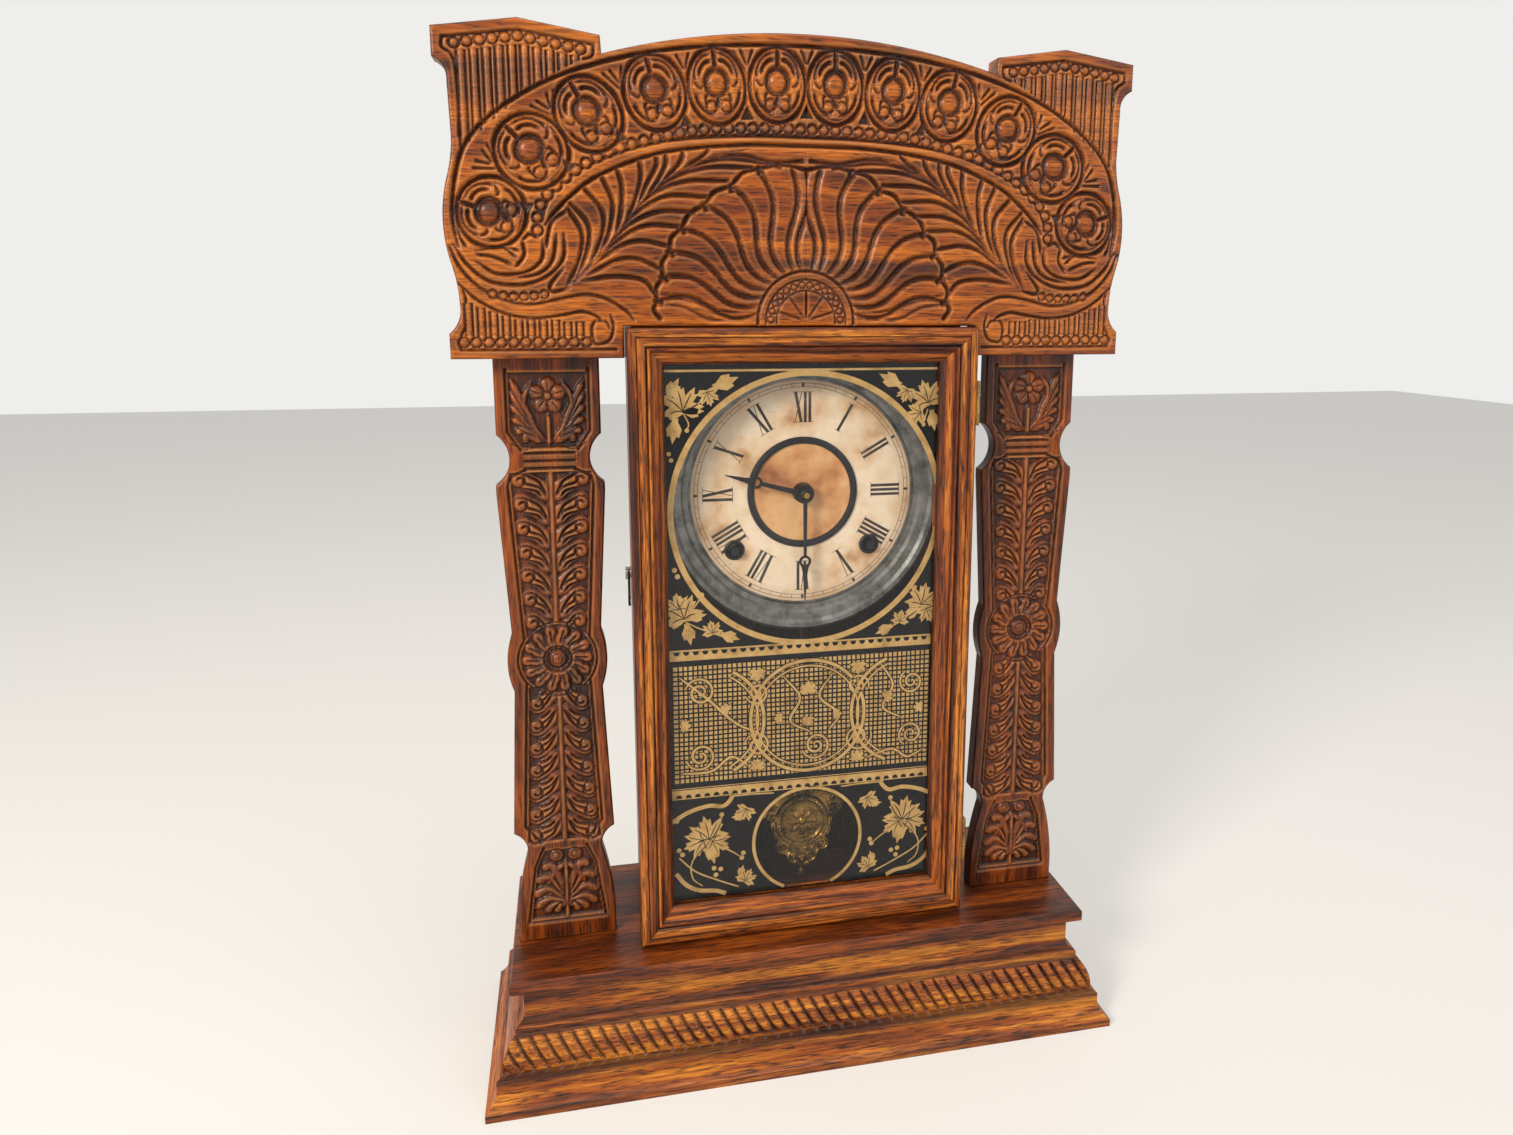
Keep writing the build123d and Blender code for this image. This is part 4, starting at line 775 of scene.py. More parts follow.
def carve_spray(panel, low, high, low_half, high_half, pairs, upward):
    """A spray of curled leaves in pairs on a stem."""
    corners = [(-low_half, low), (low_half, low), (high_half, high), (-high_half, high)]
    sink(panel, corners, -2.6, 1.0)
    rise = (high - low) / pairs
    for k in range(pairs):
        z = low + (k + 0.45) * rise
        share = (z - low) / (high - low)
        reach = low_half + (high_half - low_half) * share - 1.2
        for side in (-1, 1):
            def at(u, v):
                return (side * u, z + v * upward)
            ridge(panel, [at(2.6, -7.5), at(5.0, -2.4), at(reach - 6.8, 2.6), at(reach - 3.6, 4.6)], 5.4,
                  2.7, -2.7,
                  taper=(0.3, 0.9))
            bead(panel, *at(reach - 3.3, 3.0), 4.1, 4.4, height=2.8, ground=-2.7, moat=0.3)
            groove(panel, [at(2.4, -6.6), at(4.6, -1.8), at(7.4, 2.6), at(reach - 5.8, 6.6)], 1.5, 2.9,
                   (0.4, 0.7),
                   face=-0.2)
            groove(panel, [at(3.8, -5.6), at(6.6, -1.4), at(reach - 7.0, 1.2), at(reach - 6.2, 3.6),
                           at(reach - 4.2, 4.4), at(reach - 2.6, 3.2)], 1.4, 2.6, (0.4, 0.5), face=-0.2)
            groove(panel, [at(5.4, -6.4), at(8.4, -3.4), at(reach - 4.4, -1.8), at(reach - 1.0, -0.6)], 1.7,
                   3.0,
                   (0.5, 0.8), face=-0.2)
    ridge(panel, [(0, low), (0, high)], 2.1, 2.6, -2.6, curved=False, taper=(1, 1))
    for side in (-1, 1):
        groove(panel, [(side * 1.7, low + 1), (side * 1.5, high - 1)], 0.8, 2.4, (1, 1), curved=False)


def carve_flower(panel):
    """The square field at the top: a five-petalled flower on a stem between two leaves."""
    sink(panel, [(-21.5, 414), (21.5, 414), (21.5, 381), (15, 371.5), (-15, 371.5), (-21.5, 381)], -2.7,
         1.0)
    for k in range(5):
        a = math.radians(90 + k * 72)
        bead(panel, 6.2 * math.cos(a), 400.6 + 6.2 * math.sin(a), 4.5, height=2.5, ground=-2.7, moat=0.2)
    for k in range(10):
        a = math.radians(54 + k * 36)
        groove(panel, [(3 * math.cos(a), 400.6 + 3 * math.sin(a)),
                       (9.5 * math.cos(a), 400.6 + 9.5 * math.sin(a))],
               0.9, 2.0 if k % 2 else 1.2, (0.6, 1), curved=False)
    bead(panel, 0, 400.6, 2.5, height=2.6, ground=-2.4, moat=0.7)
    ridge(panel, [(0, 391), (0, 372)], 1.3, 2.2, -2.7, curved=False)
    for side in (-1, 1):
        ridge(panel, [(side * 1.5, 375), (side * 7, 382), (side * 12.0, 390), (side * 12.5, 400),
                      (side * 8, 409)],
              1.6, 2.2, -2.7)
        for k, (u, v) in enumerate(((19.5, 410), (20.0, 403), (20.0, 395.5), (19.5, 388), (17.5, 381),
                                    (13, 375.5))):
            ridge(panel, [(side * (8.5 - k * 1.0), 386 - k * 2.2), (side * (13.5 - k * 0.4), (v + 382) / 2),
                          (side * u, v)], 2.3, 2.3, -2.7)
    for k in range(6):
        for side in (-1, 1):
            groove(panel, [(side * (9 - k), 384 - k * 2), (side * (15.5 - 0.5 * k), 397 - k * 5.2),
                           (side * 20, 406.5 - k * 6.4)], 0.8, 2.2, (0.4, 1))


def carve_rosette(panel):
    """The round field: fourteen petals about a boss."""
    z = 248.9
    sink(panel, arc((0, z), 21.3, 0, 345, 23), -2.6, 1.0)
    groove(panel, arc((0, z), 22.0, 0, 360, 40), 1.3, 2.8, (1, 1), curved=False)
    lobes = 14
    for k in range(lobes):
        a = k * 360 / lobes
        ca, sa = math.cos(math.radians(a)), math.sin(math.radians(a))
        bead(panel, 16.6 * ca, z + 16.6 * sa, 4.0, 3.4, a, 2.5, -2.6, 0.2)
        cb, sb = math.cos(math.radians(a + 7)), math.sin(math.radians(a + 7))
        ridge(panel, [(7.5 * ca, z + 7.5 * sa), (11.5 * cb, z + 11.5 * sb), (15.5 * ca, z + 15.5 * sa)],
              2.6, 2.4, -2.6)
        cc, sc = math.cos(math.radians(a + 3)), math.sin(math.radians(a + 3))
        groove(panel, [(9.5 * cc, z + 9.5 * sc), (17.5 * ca, z + 17.5 * sa)], 1.0, 1.9, (0.5, 0.5),
               face=-0.3)
    groove(panel, arc((0, z), 7.6, 0, 360, 24), 1.6, 3.0, (1, 1), curved=False)
    bead(panel, 0, z, 5.2, height=2.7, ground=-2.7, moat=0.9)
    groove(panel, arc((0, z), 3.0, 0, 360, 20), 1.0, 1.6, (1, 1), curved=False)


def carve_palmette(panel):
    """The foot: two small volutes over fans of fluted lobes."""
    sink(panel, [(-12, 131), (12, 131), (17, 120), (21.5, 86), (-21.5, 86), (-17, 120)], -2.7, 1.0)
    for side in (-1, 1):
        bead(panel, side * 5.4, 126.4, 4.6, height=2.6, ground=-2.7, moat=0.6)
        groove(panel, [(side * 8.6, 126), (side * 5.4, 129), (side * 3.2, 126.4), (side * 5.4, 124.6)], 0.9,
               2.0)
        tips = [(13.5, 119.5), (17.8, 111), (19.6, 101.5), (18.6, 93.5), (12.5, 90), (6.5, 89.5)]
        for k, (u, v) in enumerate(tips):
            ridge(panel, [(side * 1.6, 104 - k * 2.0), (side * (u * 0.45 + 1.2), 98 + (v - 92) * 0.75),
                          (side * u, v)], 2.8, 2.6, -2.7)
        for k, (u, v) in enumerate(tips[:-1]):
            mid_u, mid_v = (u + tips[k + 1][0]) / 2, (v + tips[k + 1][1]) / 2
            groove(panel, [(side * 2.0, 102 - k * 2.0), (side * (mid_u * 0.5), 97 + (mid_v - 92) * 0.7),
                           (side * mid_u, mid_v)], 1.2, 2.6, (0.4, 1))
        ridge(panel, [(side * 0.8, 121), (side * 6.5, 116), (side * 11.5, 107)], 2.0, 2.4, -2.7)
    ridge(panel, [(0, 122), (0, 87)], 1.5, 2.5, -2.7, curved=False, taper=(0.7, 1))


def carve_column(panel):
    """The four fields of a column, each in its sunk line."""
    carve_flower(panel)
    for z, cut_depth in ((369.0, 2.4), (364.6, 2.0), (360.4, 2.4), (372.6, 1.6)):
        groove(panel, [(-13.5, z), (13.5, z)], 1.5, cut_depth, (1, 1), curved=False)
    carve_spray(panel, 262, 358.5, 17.5, 22.6, 7, 1)
    carve_spray(panel, 136.5, 233, 21.4, 17.2, 7, -1)
    carve_rosette(panel)
    carve_palmette(panel)
    frame_groove(panel, [(22, 415.5), (22, 381), (15.5, 371)])
    frame_groove(panel, [(13.5, 359.5), (22, 355.5), (23.2, 350), (18.2, 262)])
    frame_groove(panel, [(17.8, 235), (22.0, 147), (14, 136)])
    frame_groove(panel, [(12.5, 132), (17.5, 120), (22.4, 85)])
    groove(panel, [(-22.4, 85), (22.4, 85)], 1.4, 2.6, (1, 1), curved=False)


column_panel = new_panel(-30.0, 30.0, 72.6, 480.6, 0.55)
carve_column(column_panel)
for side, node in ((-1, "left_column"), (1, "right_column")):
    moved = dict(column_panel)
    moved["x"] = column_panel["x"] + side * COLUMN_CENTRE
    moved["xs"] = column_panel["xs"] + side * COLUMN_CENTRE
    outline = [(x + side * COLUMN_CENTRE, z) for x, z in column_outline]
    piece = carved_board("carved_" + node, moved, outline, CASE_FRONT, COLUMN_BACK, oak_carved_upright)
    attach(piece, "case", node)

# %% [markdown]
# The base's front moulding carries a reeding: short round ribs set aslant on the swelling part. The
# moulding's section is swept along the front, with mitred ends, and each point of the swelling is drawn
# in between the ribs.

# %% Reeded moulding
BOARD_FRONT_Y = -49.8
HALF_BOARD = 175.0


def section():
    """The moulding's section as (out from the board's edge, height), with how much each point is reeded."""
    run = [(15.2, 0.0, 0), (15.2, 4.6, 0)]
    run += [(x, z, 0) for x, z in through((15.2, 4.6), (10.6, 8.8), (8.9, 15.0), 8)[1:]]
    run += [(8.9, 19.4, 0), (8.6, 20.2, 0), (5.2, 21.2, 0)]
    swell = through((5.2, 21.2), (4.2, 31.5), (-0.7, 39.4), 26)
    run += [(x, z, min(1.0, 6 * k / 26, 6 * (26 - k) / 26)) for k, (x, z) in enumerate(swell)][1:]
    run += [(-1.9, 40.4, 0), (-1.9, 43.6, 0), (-2.9, 44.6, 0)]
    run += [(x, z, 0) for x, z in through((-2.9, 44.6), (-6.0, 46.6), (-7.0, 50.2), 6)[1:]]
    run += [(-7.0, 65.4, 0), (-20.0, 65.4, 0), (-20.0, 0.0, 0)]
    return run


REED_PITCH, REED_SHIFT, REED_CUT = 7.8, 11.0, 2.8
profile = section()
stations = np.linspace(-1, 1, 601)
rows, stains = [], []
for out, z, reeded in profile:
    reeded = reeded ** 0.5
    half_long = HALF_BOARD + out
    xs = stations * half_long
    phase = (xs + (z - 30.3) / 18.2 * REED_SHIFT) / REED_PITCH + 0.5
    rib = np.abs(np.sin(np.pi * phase)) ** 0.5
    sunk = REED_CUT * reeded * (1 - rib)
    y = np.full_like(xs, BOARD_FRONT_Y - out) + sunk
    # Each reed's valley is darkened: stain and painted shade.
    stains.append(np.clip(1.7 * reeded * (1 - rib) - 0.15, 0, 0.9))
    rows.append(np.stack([xs, y, np.full_like(xs, z)], 1))
grid = np.array(rows)
count_z, count_x = grid.shape[:2]
index = np.arange(count_z * count_x).reshape(count_z, count_x)
faces = []
for j in range(count_z):
    a, b = index[j], index[(j + 1) % count_z]
    faces += np.stack([a[:-1], a[1:], b[1:], b[:-1]], 1).tolist()
faces.append(index[:, 0].tolist())
faces.append(index[::-1, -1].tolist())
mesh = bpy.data.meshes.new("reeded_moulding")
mesh.from_pydata((grid.reshape(-1, 3) / 1000).tolist(), [], faces)
# The quirks, and the foot and top where the moulding meets the table and the board, are darkened as well:
# stain and painted shade.
QUIRKS = ((19.0, 21.5, 0.75), (39.2, 41.0, 0.6), (44.0, 47.0, 0.6), (-1.0, 1.0, 0.35), (65.0, 70.0, 0.35))
quirks = np.array([max([stain for low, high, stain in QUIRKS if low < z < high], default=0.0)
                   for _, z, _ in profile])
sunk_share = np.maximum(np.concatenate(stains), np.repeat(quirks, count_x))
mesh.attributes.new("recess", "FLOAT", "POINT").data.foreach_set("value", sunk_share.astype(np.float32))
mesh.materials.append(oak_moulded)
mesh.update()
moulding = bpy.data.objects.new("reeded_moulding", mesh)
bpy.context.scene.collection.objects.link(moulding)
bpy.ops.object.select_all(action="DESELECT")
bpy.context.view_layer.objects.active = moulding
moulding.select_set(True)
bpy.ops.object.shade_smooth_by_angle(angle=math.radians(38))
attach(moulding, "case", "base_front_moulding")
print("reeded moulding faces", len(faces))

# %% [markdown]
# The movement and the fittings are brass and steel of several kinds. A metal's colour lies in its
# reflection, so each has a base colour measured from such metals, a roughness from how it was worked,
# and soft clouds of dulling.

# %% Metals, paper and glass
def metal(name, code, roughness, stain=None, metallic=1.0):
    """A metal with a little cloudiness in its polish."""
    made, tree, shader = new_material(name, roughness, metallic)
    place = add(tree, "ShaderNodeTexCoord").outputs["Object"]
    clouds = add(tree, "ShaderNodeTexNoise", inputs={"Vector": place, "Scale": 90.0, "Detail": 4.0,
                                                     "Roughness": 0.65})
    tint = add(tree, "ShaderNodeValToRGB", {"stops": [(0.35, stain or code), (0.62, code)]},
               {"Fac": clouds.outputs["Fac"]}).outputs["Color"]
    tree.links.new(tint, shader.inputs["Base Color"])
    rough = add(tree, "ShaderNodeMapRange", inputs={"Value": clouds.outputs["Fac"],
                                                    "To Min": roughness + 0.12,
                                                    "To Max": max(roughness - 0.08, 0.05)})
    tree.links.new(rough.outputs["Result"], shader.inputs["Roughness"])
    return made


brass = metal("rolled_brass", "b8924a", 0.34, "7c5c28")
bright_steel = metal("turned_steel", "a3a098", 0.38, "6f6b64")
black_steel = metal("blued_steel", "1e1e22", 0.4, "101013", 0.5)
dull_zinc = metal("pressed_zinc", "7b7a76", 0.4, "45443f", 0.75)
black_iron = metal("black_lacquered_iron", "17161a", 0.5, "0e0d10", 0.2)

# %% [markdown]
# Window glass is clear but for the light that its two faces throw back. A pane this thin bends nothing
# that the eye would notice, so it is made as a film that is nearly all see-through, with a faint mirror
# over it. Lamps then light the dial behind it, as they do in the real clock.

# %% Glass
glass, tree, shader = new_material("window_glass", 0.03, 1.0)
shader.inputs["Base Color"].default_value = colour("ffffff")
shader.inputs["Alpha"].default_value = 0.016


# %% [markdown]
# The door's glass carries a tablet: an ornament in bronze powder, backed by black, all painted on the
# back of the glass. Seen from the front, fine lines lie nearest, then what they are drawn on, then the
# black ground. So the paint is made as four very thin layers in that order. Paint has no thickness to
# model with, so each shape is just its outline, closed to a slab of a few hundredths of a millimetre.

# %% Flat shapes
PAINT_DEPTHS = {"fine": (-20.18, -20.12), "lines": (-20.10, -20.04), "bronze": (-20.02, -19.96),
                "ground": (-19.94, -19.88)}
STEP = 0.006
paint = {layer: [] for layer in PAINT_DEPTHS}


def slabs(name, outlines, front, back, material, body):
    """Closed slabs with these outlines, as one piece. front and back are in millimetres. Shapes that
    overlap would share a face, so each lies a few thousandths behind the last."""
    points, faces = [], []
    for number, outline in enumerate(outlines):
        near = front + STEP * (number % 7)
        line = [tuple(p) for p in outline]
        size = sum(a[0] * b[1] - b[0] * a[1] for a, b in zip(line, line[1:] + line[:1]))
        if size < 0:
            line.reverse()
        base, count = len(points), len(line)
        points += [(x / 1000, near / 1000, z / 1000) for x, z in line]
        points += [(x / 1000, back / 1000, z / 1000) for x, z in line]
        faces.append(range(base, base + count))
        faces.append(range(base + 2 * count - 1, base + count - 1, -1))
        for k in range(count):
            after = (k + 1) % count
            faces.append((base + after, base + k, base + count + k, base + count + after))
    mesh = bpy.data.meshes.new(name)
    mesh.from_pydata(points, [], [list(f) for f in faces])
    mesh.materials.append(material)
    piece = bpy.data.objects.new(name, mesh)
    bpy.context.scene.collection.objects.link(piece)
    print(name, "shapes", len(outlines), "faces", len(faces))
    return attach(piece, body, None)


def ribbon(points, width, ends=1.0, curved=True):
    """The outline of a painted line. ends is the share of the width at its two ends."""
    line = smooth(points, 6) if curved and len(points) > 2 else np.array(points, float)
    along = np.gradient(line, axis=0)
    side = np.stack([-along[:, 1], along[:, 0]], 1) / (np.hypot(along[:, 0], along[:, 1])[:, None] + 1e-9)
    t = np.linspace(0, 1, len(line))[:, None]
    wide = width / 2 * (ends + (1 - ends) * np.clip(4 * t * (1 - t), 0, 1) ** 0.6)
    return np.vstack([line + side * wide, (line - side * wide)[::-1]]).tolist()


def ring_shapes(centre, outer, inner, start=0, end=360, parts=4):
    """A ring or a piece of one, in short lengths."""
    made = []
    step = (end - start) / parts
    for k in range(parts):
        a, b = start + k * step, start + (k + 1) * step
        made.append(arc(centre, outer, a, b, 18) + arc(centre, inner, b, a, 18))
    return made


def disc(centre, radius, count=14):
    """A round spot."""
    return arc(centre, radius, 0, 360, count)[:-1]


def box_shape(x0, x1, z0, z1):
    """A plain rectangle."""
    return [(x0, z0), (x1, z0), (x1, z1), (x0, z1)]


def turned(shape, centre, lean, size=1.0):
    """A shape drawn about 0, turned anticlockwise by lean degrees and set at its centre."""
    c, s = math.cos(math.radians(lean)), math.sin(math.radians(lean))
    return [(centre[0] + size * (x * c - z * s), centre[1] + size * (x * s + z * c)) for x, z in shape]


# %% [markdown]
# Maple leaves, buds and berries repeat all over the tablet. A leaf is drawn once as half an outline, in
# directions from its tip and reaches from its heart, then mirrored, turned and scaled where it is needed.
# Its veins are black lines on the layer in front.

# %% Leaves and berries
HALF_LEAF = [(0, 1.0), (9, 0.76), (17, 0.84), (26, 0.52), (34, 0.72), (43, 0.98), (52, 0.74), (60, 0.82),
             (70, 0.48), (82, 0.62), (96, 0.86), (106, 0.62), (122, 0.62), (142, 0.34), (172, 0.2)]
LEAF_VEINS = (0, 43, -43, 98, -98)


right_side = [(reach * math.sin(math.radians(a)), reach * math.cos(math.radians(a)))
              for a, reach in HALF_LEAF]
LEAF = right_side + [(-x, z) for x, z in reversed(right_side) if x > 0.01]


def maple_leaf(centre, size, lean):
    """A leaf whose tip points up at lean 0."""
    paint["bronze"].append(turned(LEAF, centre, lean, size))
    for a in LEAF_VEINS:
        reach = 0.72 if a in (0, 43, -43) else 0.5
        tip = (reach * math.sin(math.radians(a)), reach * math.cos(math.radians(a)))
        vein = turned([(0, -0.1), (tip[0] * 0.5 + 0.02, tip[1] * 0.5), tip], centre, lean, size)
        paint["lines"].append(ribbon(vein, 0.035 * size + 0.12, 0.4))


def bud(centre, size, lean):
    """A folded young leaf: three narrow blades side by side."""
    for tilt, reach in ((0, 1.0), (24, 0.72), (-24, 0.72)):
        blade = [(0, -0.35), (0.2, 0.05), (0.24, 0.4), (0, reach), (-0.24, 0.4), (-0.2, 0.05)]
        paint["bronze"].append(turned(turned(blade, (0, 0), tilt), centre, lean, size))


def stem(points, width=0.8):
    """A bronze stem that thins at its ends."""
    paint["bronze"].append(ribbon(points, width, 0.6))


def berries(*places, radius=1.6):
    """A bronze spot at each place."""
    for place in places:
        paint["bronze"].append(disc(place, radius))


# %% [markdown]
# The tablet was measured in steps of a quarter of a millimetre from its top left corner. One function
# turns a step across and a step down into the part's millimetres. The black ground has two round holes,
# and runs on under the door's rebate, so that no light shows past it.

# %% The tablet's ground and borders
def on_glass(across, down):
    """A place on the tablet, from steps across and down."""
    return (-104.9 + 0.24145 * across, 444.1 - 0.2375 * down)


def glass_line(*steps):
    """Places on the tablet, from steps across and down."""
    return [on_glass(*step) for step in steps]


EDGE = 79.6
TOP, BOTTOM = 417.6, 94.7
DIAL_RING = (2.5, 332.6)
LOW_RING = (3.0, 125.9)
DIAL_HOLE, LOW_HOLE = 79.0, 33.4
MIDDLE = 250.6
REBATE = 84.2

cut_off = math.degrees(math.acos((EDGE - DIAL_RING[0]) / DIAL_HOLE))
paint["ground"].append([(EDGE, TOP), (-EDGE, TOP), (-EDGE, MIDDLE), (EDGE, MIDDLE)]
                       + arc(DIAL_RING, DIAL_HOLE, -cut_off, cut_off - 360, 90))
chord = math.degrees(math.asin((LOW_RING[1] - BOTTOM) / LOW_HOLE))
paint["ground"].append([(EDGE, MIDDLE), (-EDGE, MIDDLE), (-EDGE, BOTTOM)]
                       + arc(LOW_RING, LOW_HOLE, 180 + chord, -chord, 60) + [(EDGE, BOTTOM)])
for strip in ((-REBATE, REBATE, 417.4, 422.3), (-REBATE, -79.4, 94.9, 417.5), (-REBATE, REBATE, 90.0, 95.0),
              (79.4, REBATE, 350.0, 417.5), (79.4, REBATE, 95.0, 315.0)):
    paint["ground"].append(box_shape(*strip))
paint["bronze"] += ring_shapes(DIAL_RING, 81.6, 78.2, 18.5, 341.5, 8)
for start in (9.5, -18.5):
    paint["bronze"] += ring_shapes(DIAL_RING, 81.6, 78.2, start, start + 9, 1)
paint["bronze"] += ring_shapes(LOW_RING, 34.6, 32.6, -64, 244, 6)
paint["bronze"].append(box_shape(-EDGE, EDGE, 413.6, 414.9))
paint["bronze"].append(box_shape(-EDGE, EDGE, 251.6, 252.6))
print("tablet", 2 * EDGE, "by", round(TOP - BOTTOM, 1), "mm")


def toothed_band(low, high, hang):
    """A bronze band with small black arches. hang sets them at its top edge, or in its middle."""
    paint["bronze"].append(box_shape(-EDGE, EDGE, low, high))
    count = 28
    pitch = 2 * (EDGE - 1.5) / count
    for k in range(count):
        x = -EDGE + 1.5 + (k + 0.5) * pitch
        base = high - 0.5 if hang else low + 1.2
        start, cap = (180, base) if hang else (0, base - 0.5)
        paint["lines"].append(arc((x, base), 1.75, start, start + 180, 8))
        paint["lines"].append(box_shape(x - 1.75, x + 1.75, cap, cap + 0.5))


toothed_band(246.0, 251.4, True)
toothed_band(159.6, 165.4, False)
paint["bronze"].append(box_shape(-EDGE, EDGE, 166.0, 166.5))

# %% [markdown]
# A sprig fills each corner round the dial, and no two are alike. Each is a list of leaves and buds, the
# stems that join them and a few berries, all in steps on the glass.

# %% Corner sprigs
SPRIGS = (
    (((maple_leaf, 146, 215, 14.5, 12), (bud, 118, 180, 10.5, -30), (bud, 128, 250, 11.5, 172),
      (bud, 158, 222, 9.5, -88), (maple_leaf, 205, 178, 8.0, -165), (bud, 232, 160, 12.0, -68)),
     (((150, 222), (180, 205), (205, 185), (235, 160)), ((148, 225), (160, 250), (156, 264))),
     ((156, 266), (113, 321), (118, 336)), 1.3),
    (((maple_leaf, 742, 205, 13.0, 18), (maple_leaf, 722, 235, 9.0, 100), (bud, 754, 240, 10.0, 190),
      (maple_leaf, 688, 180, 7.5, 160), (bud, 660, 160, 11.5, 62)),
     (((745, 218), (715, 200), (688, 185), (655, 160)), ((742, 225), (736, 245), (732, 262))),
     ((732, 264),), 1.2),
    (((maple_leaf, 140, 722, 14.5, 20), (maple_leaf, 128, 700, 9.5, 5), (bud, 150, 752, 10.5, 190),
      (bud, 160, 725, 9.0, -80), (maple_leaf, 210, 765, 7.5, 10), (bud, 240, 775, 9.5, -110)),
     (((145, 735), (175, 752), (205, 765), (250, 785)), ((155, 712), (172, 692), (184, 672))),
     ((185, 669), (121, 604), (128, 620)), 1.5),
    (((maple_leaf, 738, 722, 13.0, -12), (maple_leaf, 752, 740, 9.0, 200), (bud, 722, 742, 9.0, 120),
      (maple_leaf, 682, 766, 7.0, -10), (bud, 652, 782, 9.0, 115)),
     (((740, 735), (712, 752), (684, 768), (645, 787)), ((732, 712), (722, 695), (720, 682))),
     ((720, 680),), 1.2),
)
for growths, stems, dots, radius in SPRIGS:
    for draw, across, down, size, lean in growths:
        draw(on_glass(across, down), size, lean)
    for run in stems:
        stem(glass_line(*run))
    berries(*glass_line(*dots), radius=radius)
print("shapes so far", {k: len(v) for k, v in paint.items()})

# %% [markdown]
# The middle band is bronze under a net of fine black lines, with overlapping rounds, spirals and sprigs
# over it. The net was ruled by hand, so each line wavers a little, always the same way in every run.

# %% The middle band
BAND = (-77.6, 78.8, 170.0, 242.4)
net = random.Random(5)
paint["bronze"].append(box_shape(*BAND))
MESHES_WIDE, MESHES_HIGH, NET_LINE = 54, 25, 0.95
for k in range(1, MESHES_WIDE):
    x = BAND[0] + (BAND[1] - BAND[0]) * k / MESHES_WIDE
    bends = [(x + net.uniform(-0.2, 0.2), BAND[2] + (BAND[3] - BAND[2]) * j / 4) for j in range(5)]
    paint["lines"].append(ribbon(bends, NET_LINE))
for k in range(1, MESHES_HIGH):
    z = BAND[2] + (BAND[3] - BAND[2]) * k / MESHES_HIGH
    bends = [(BAND[0] + (BAND[1] - BAND[0]) * j / 8, z + net.uniform(-0.2, 0.2)) for j in range(9)]
    paint["lines"].append(ribbon(bends, NET_LINE))


def spiral(centre, size, turns, start, way=1):
    """A scroll that winds in from its outer end."""
    line = []
    for share in np.linspace(0, 1, 27):
        angle = math.radians(start + way * turns * 360 * share)
        reach = size * (1 - 0.86 * share)
        line.append((centre[0] + reach * math.cos(angle), centre[1] + reach * math.sin(angle)))
    return line


edged = []
for middle, start, end in ((3.0, 0, 360), (-59.0, -62, 62), (65.0, 112, 248)):
    for radius, wide in ((35.0, 2.0), (31.6, 1.1)):
        edged.append((arc((middle, 206.2), radius, start, end, 48), wide, 1.0))
for x, z, size, turns, start, way in ((-62, 186, 9, 1.8, 200, 1), (-62, 226, 9, 1.8, 160, -1),
                                      (8, 187, 9, 1.9, 200, 1),
                                      (34, 190, 9, 1.8, 20, -1), (68, 223, 8, 1.8, 120, 1),
                                      (68, 189, 8, 1.8, 240, -1),
                                      (-28, 190, 8, 1.7, 160, -1), (-28, 223, 7, 1.7, 200, 1),
                                      (34, 223, 7, 1.7, -20, 1)):
    edged.append((spiral((x, z), size, turns, start, way), 1.5, 0.6))
for sweep in ([(-74, 236), (-58, 222), (-42, 206), (-28, 198)],
              [(-12, 232), (-2, 218), (-8, 204), (4, 196)],
              [(18, 232), (10, 218), (22, 206), (16, 196)], [(48, 236), (56, 222), (50, 208), (62, 200)],
              [(-74, 176), (-56, 176), (-44, 184), (-34, 178)],
              [(40, 176), (56, 180), (66, 174), (76, 178)]):
    edged.append((sweep, 1.6, 0.4))
for line, wide, ends in edged:
    paint["lines"].append(ribbon(line, wide + 1.1, max(ends, 0.7)))
    paint["fine"].append(ribbon(line, wide, ends))
for x, z, size, lean in ((-28, 236, 6.5, 180), (34, 236, 6.5, 180), (-28, 176, 6.0, 0), (34, 176, 6.0, 0),
                         (-46, 214, 5.0, 60), (52, 214, 5.0, -60), (3, 222, 7.0, 0), (3, 204, 5.0, 180),
                         (-14, 206, 4.5, 90), (20, 206, 4.5, -90), (-72, 206, 5.0, -90),
                         (74, 206, 5.0, 90)):
    paint["lines"].append(turned(LEAF, (x, z), lean, size + 1.0))
    paint["fine"].append(turned(LEAF, (x, z), lean, size))
print("shapes so far", {k: len(v) for k, v in paint.items()})

# %% [markdown]
# Below the middle band a clear round shows the bob, between two spreading leaves with their stems and
# berries. This part is the same on both sides, so it is drawn once and mirrored about the round.

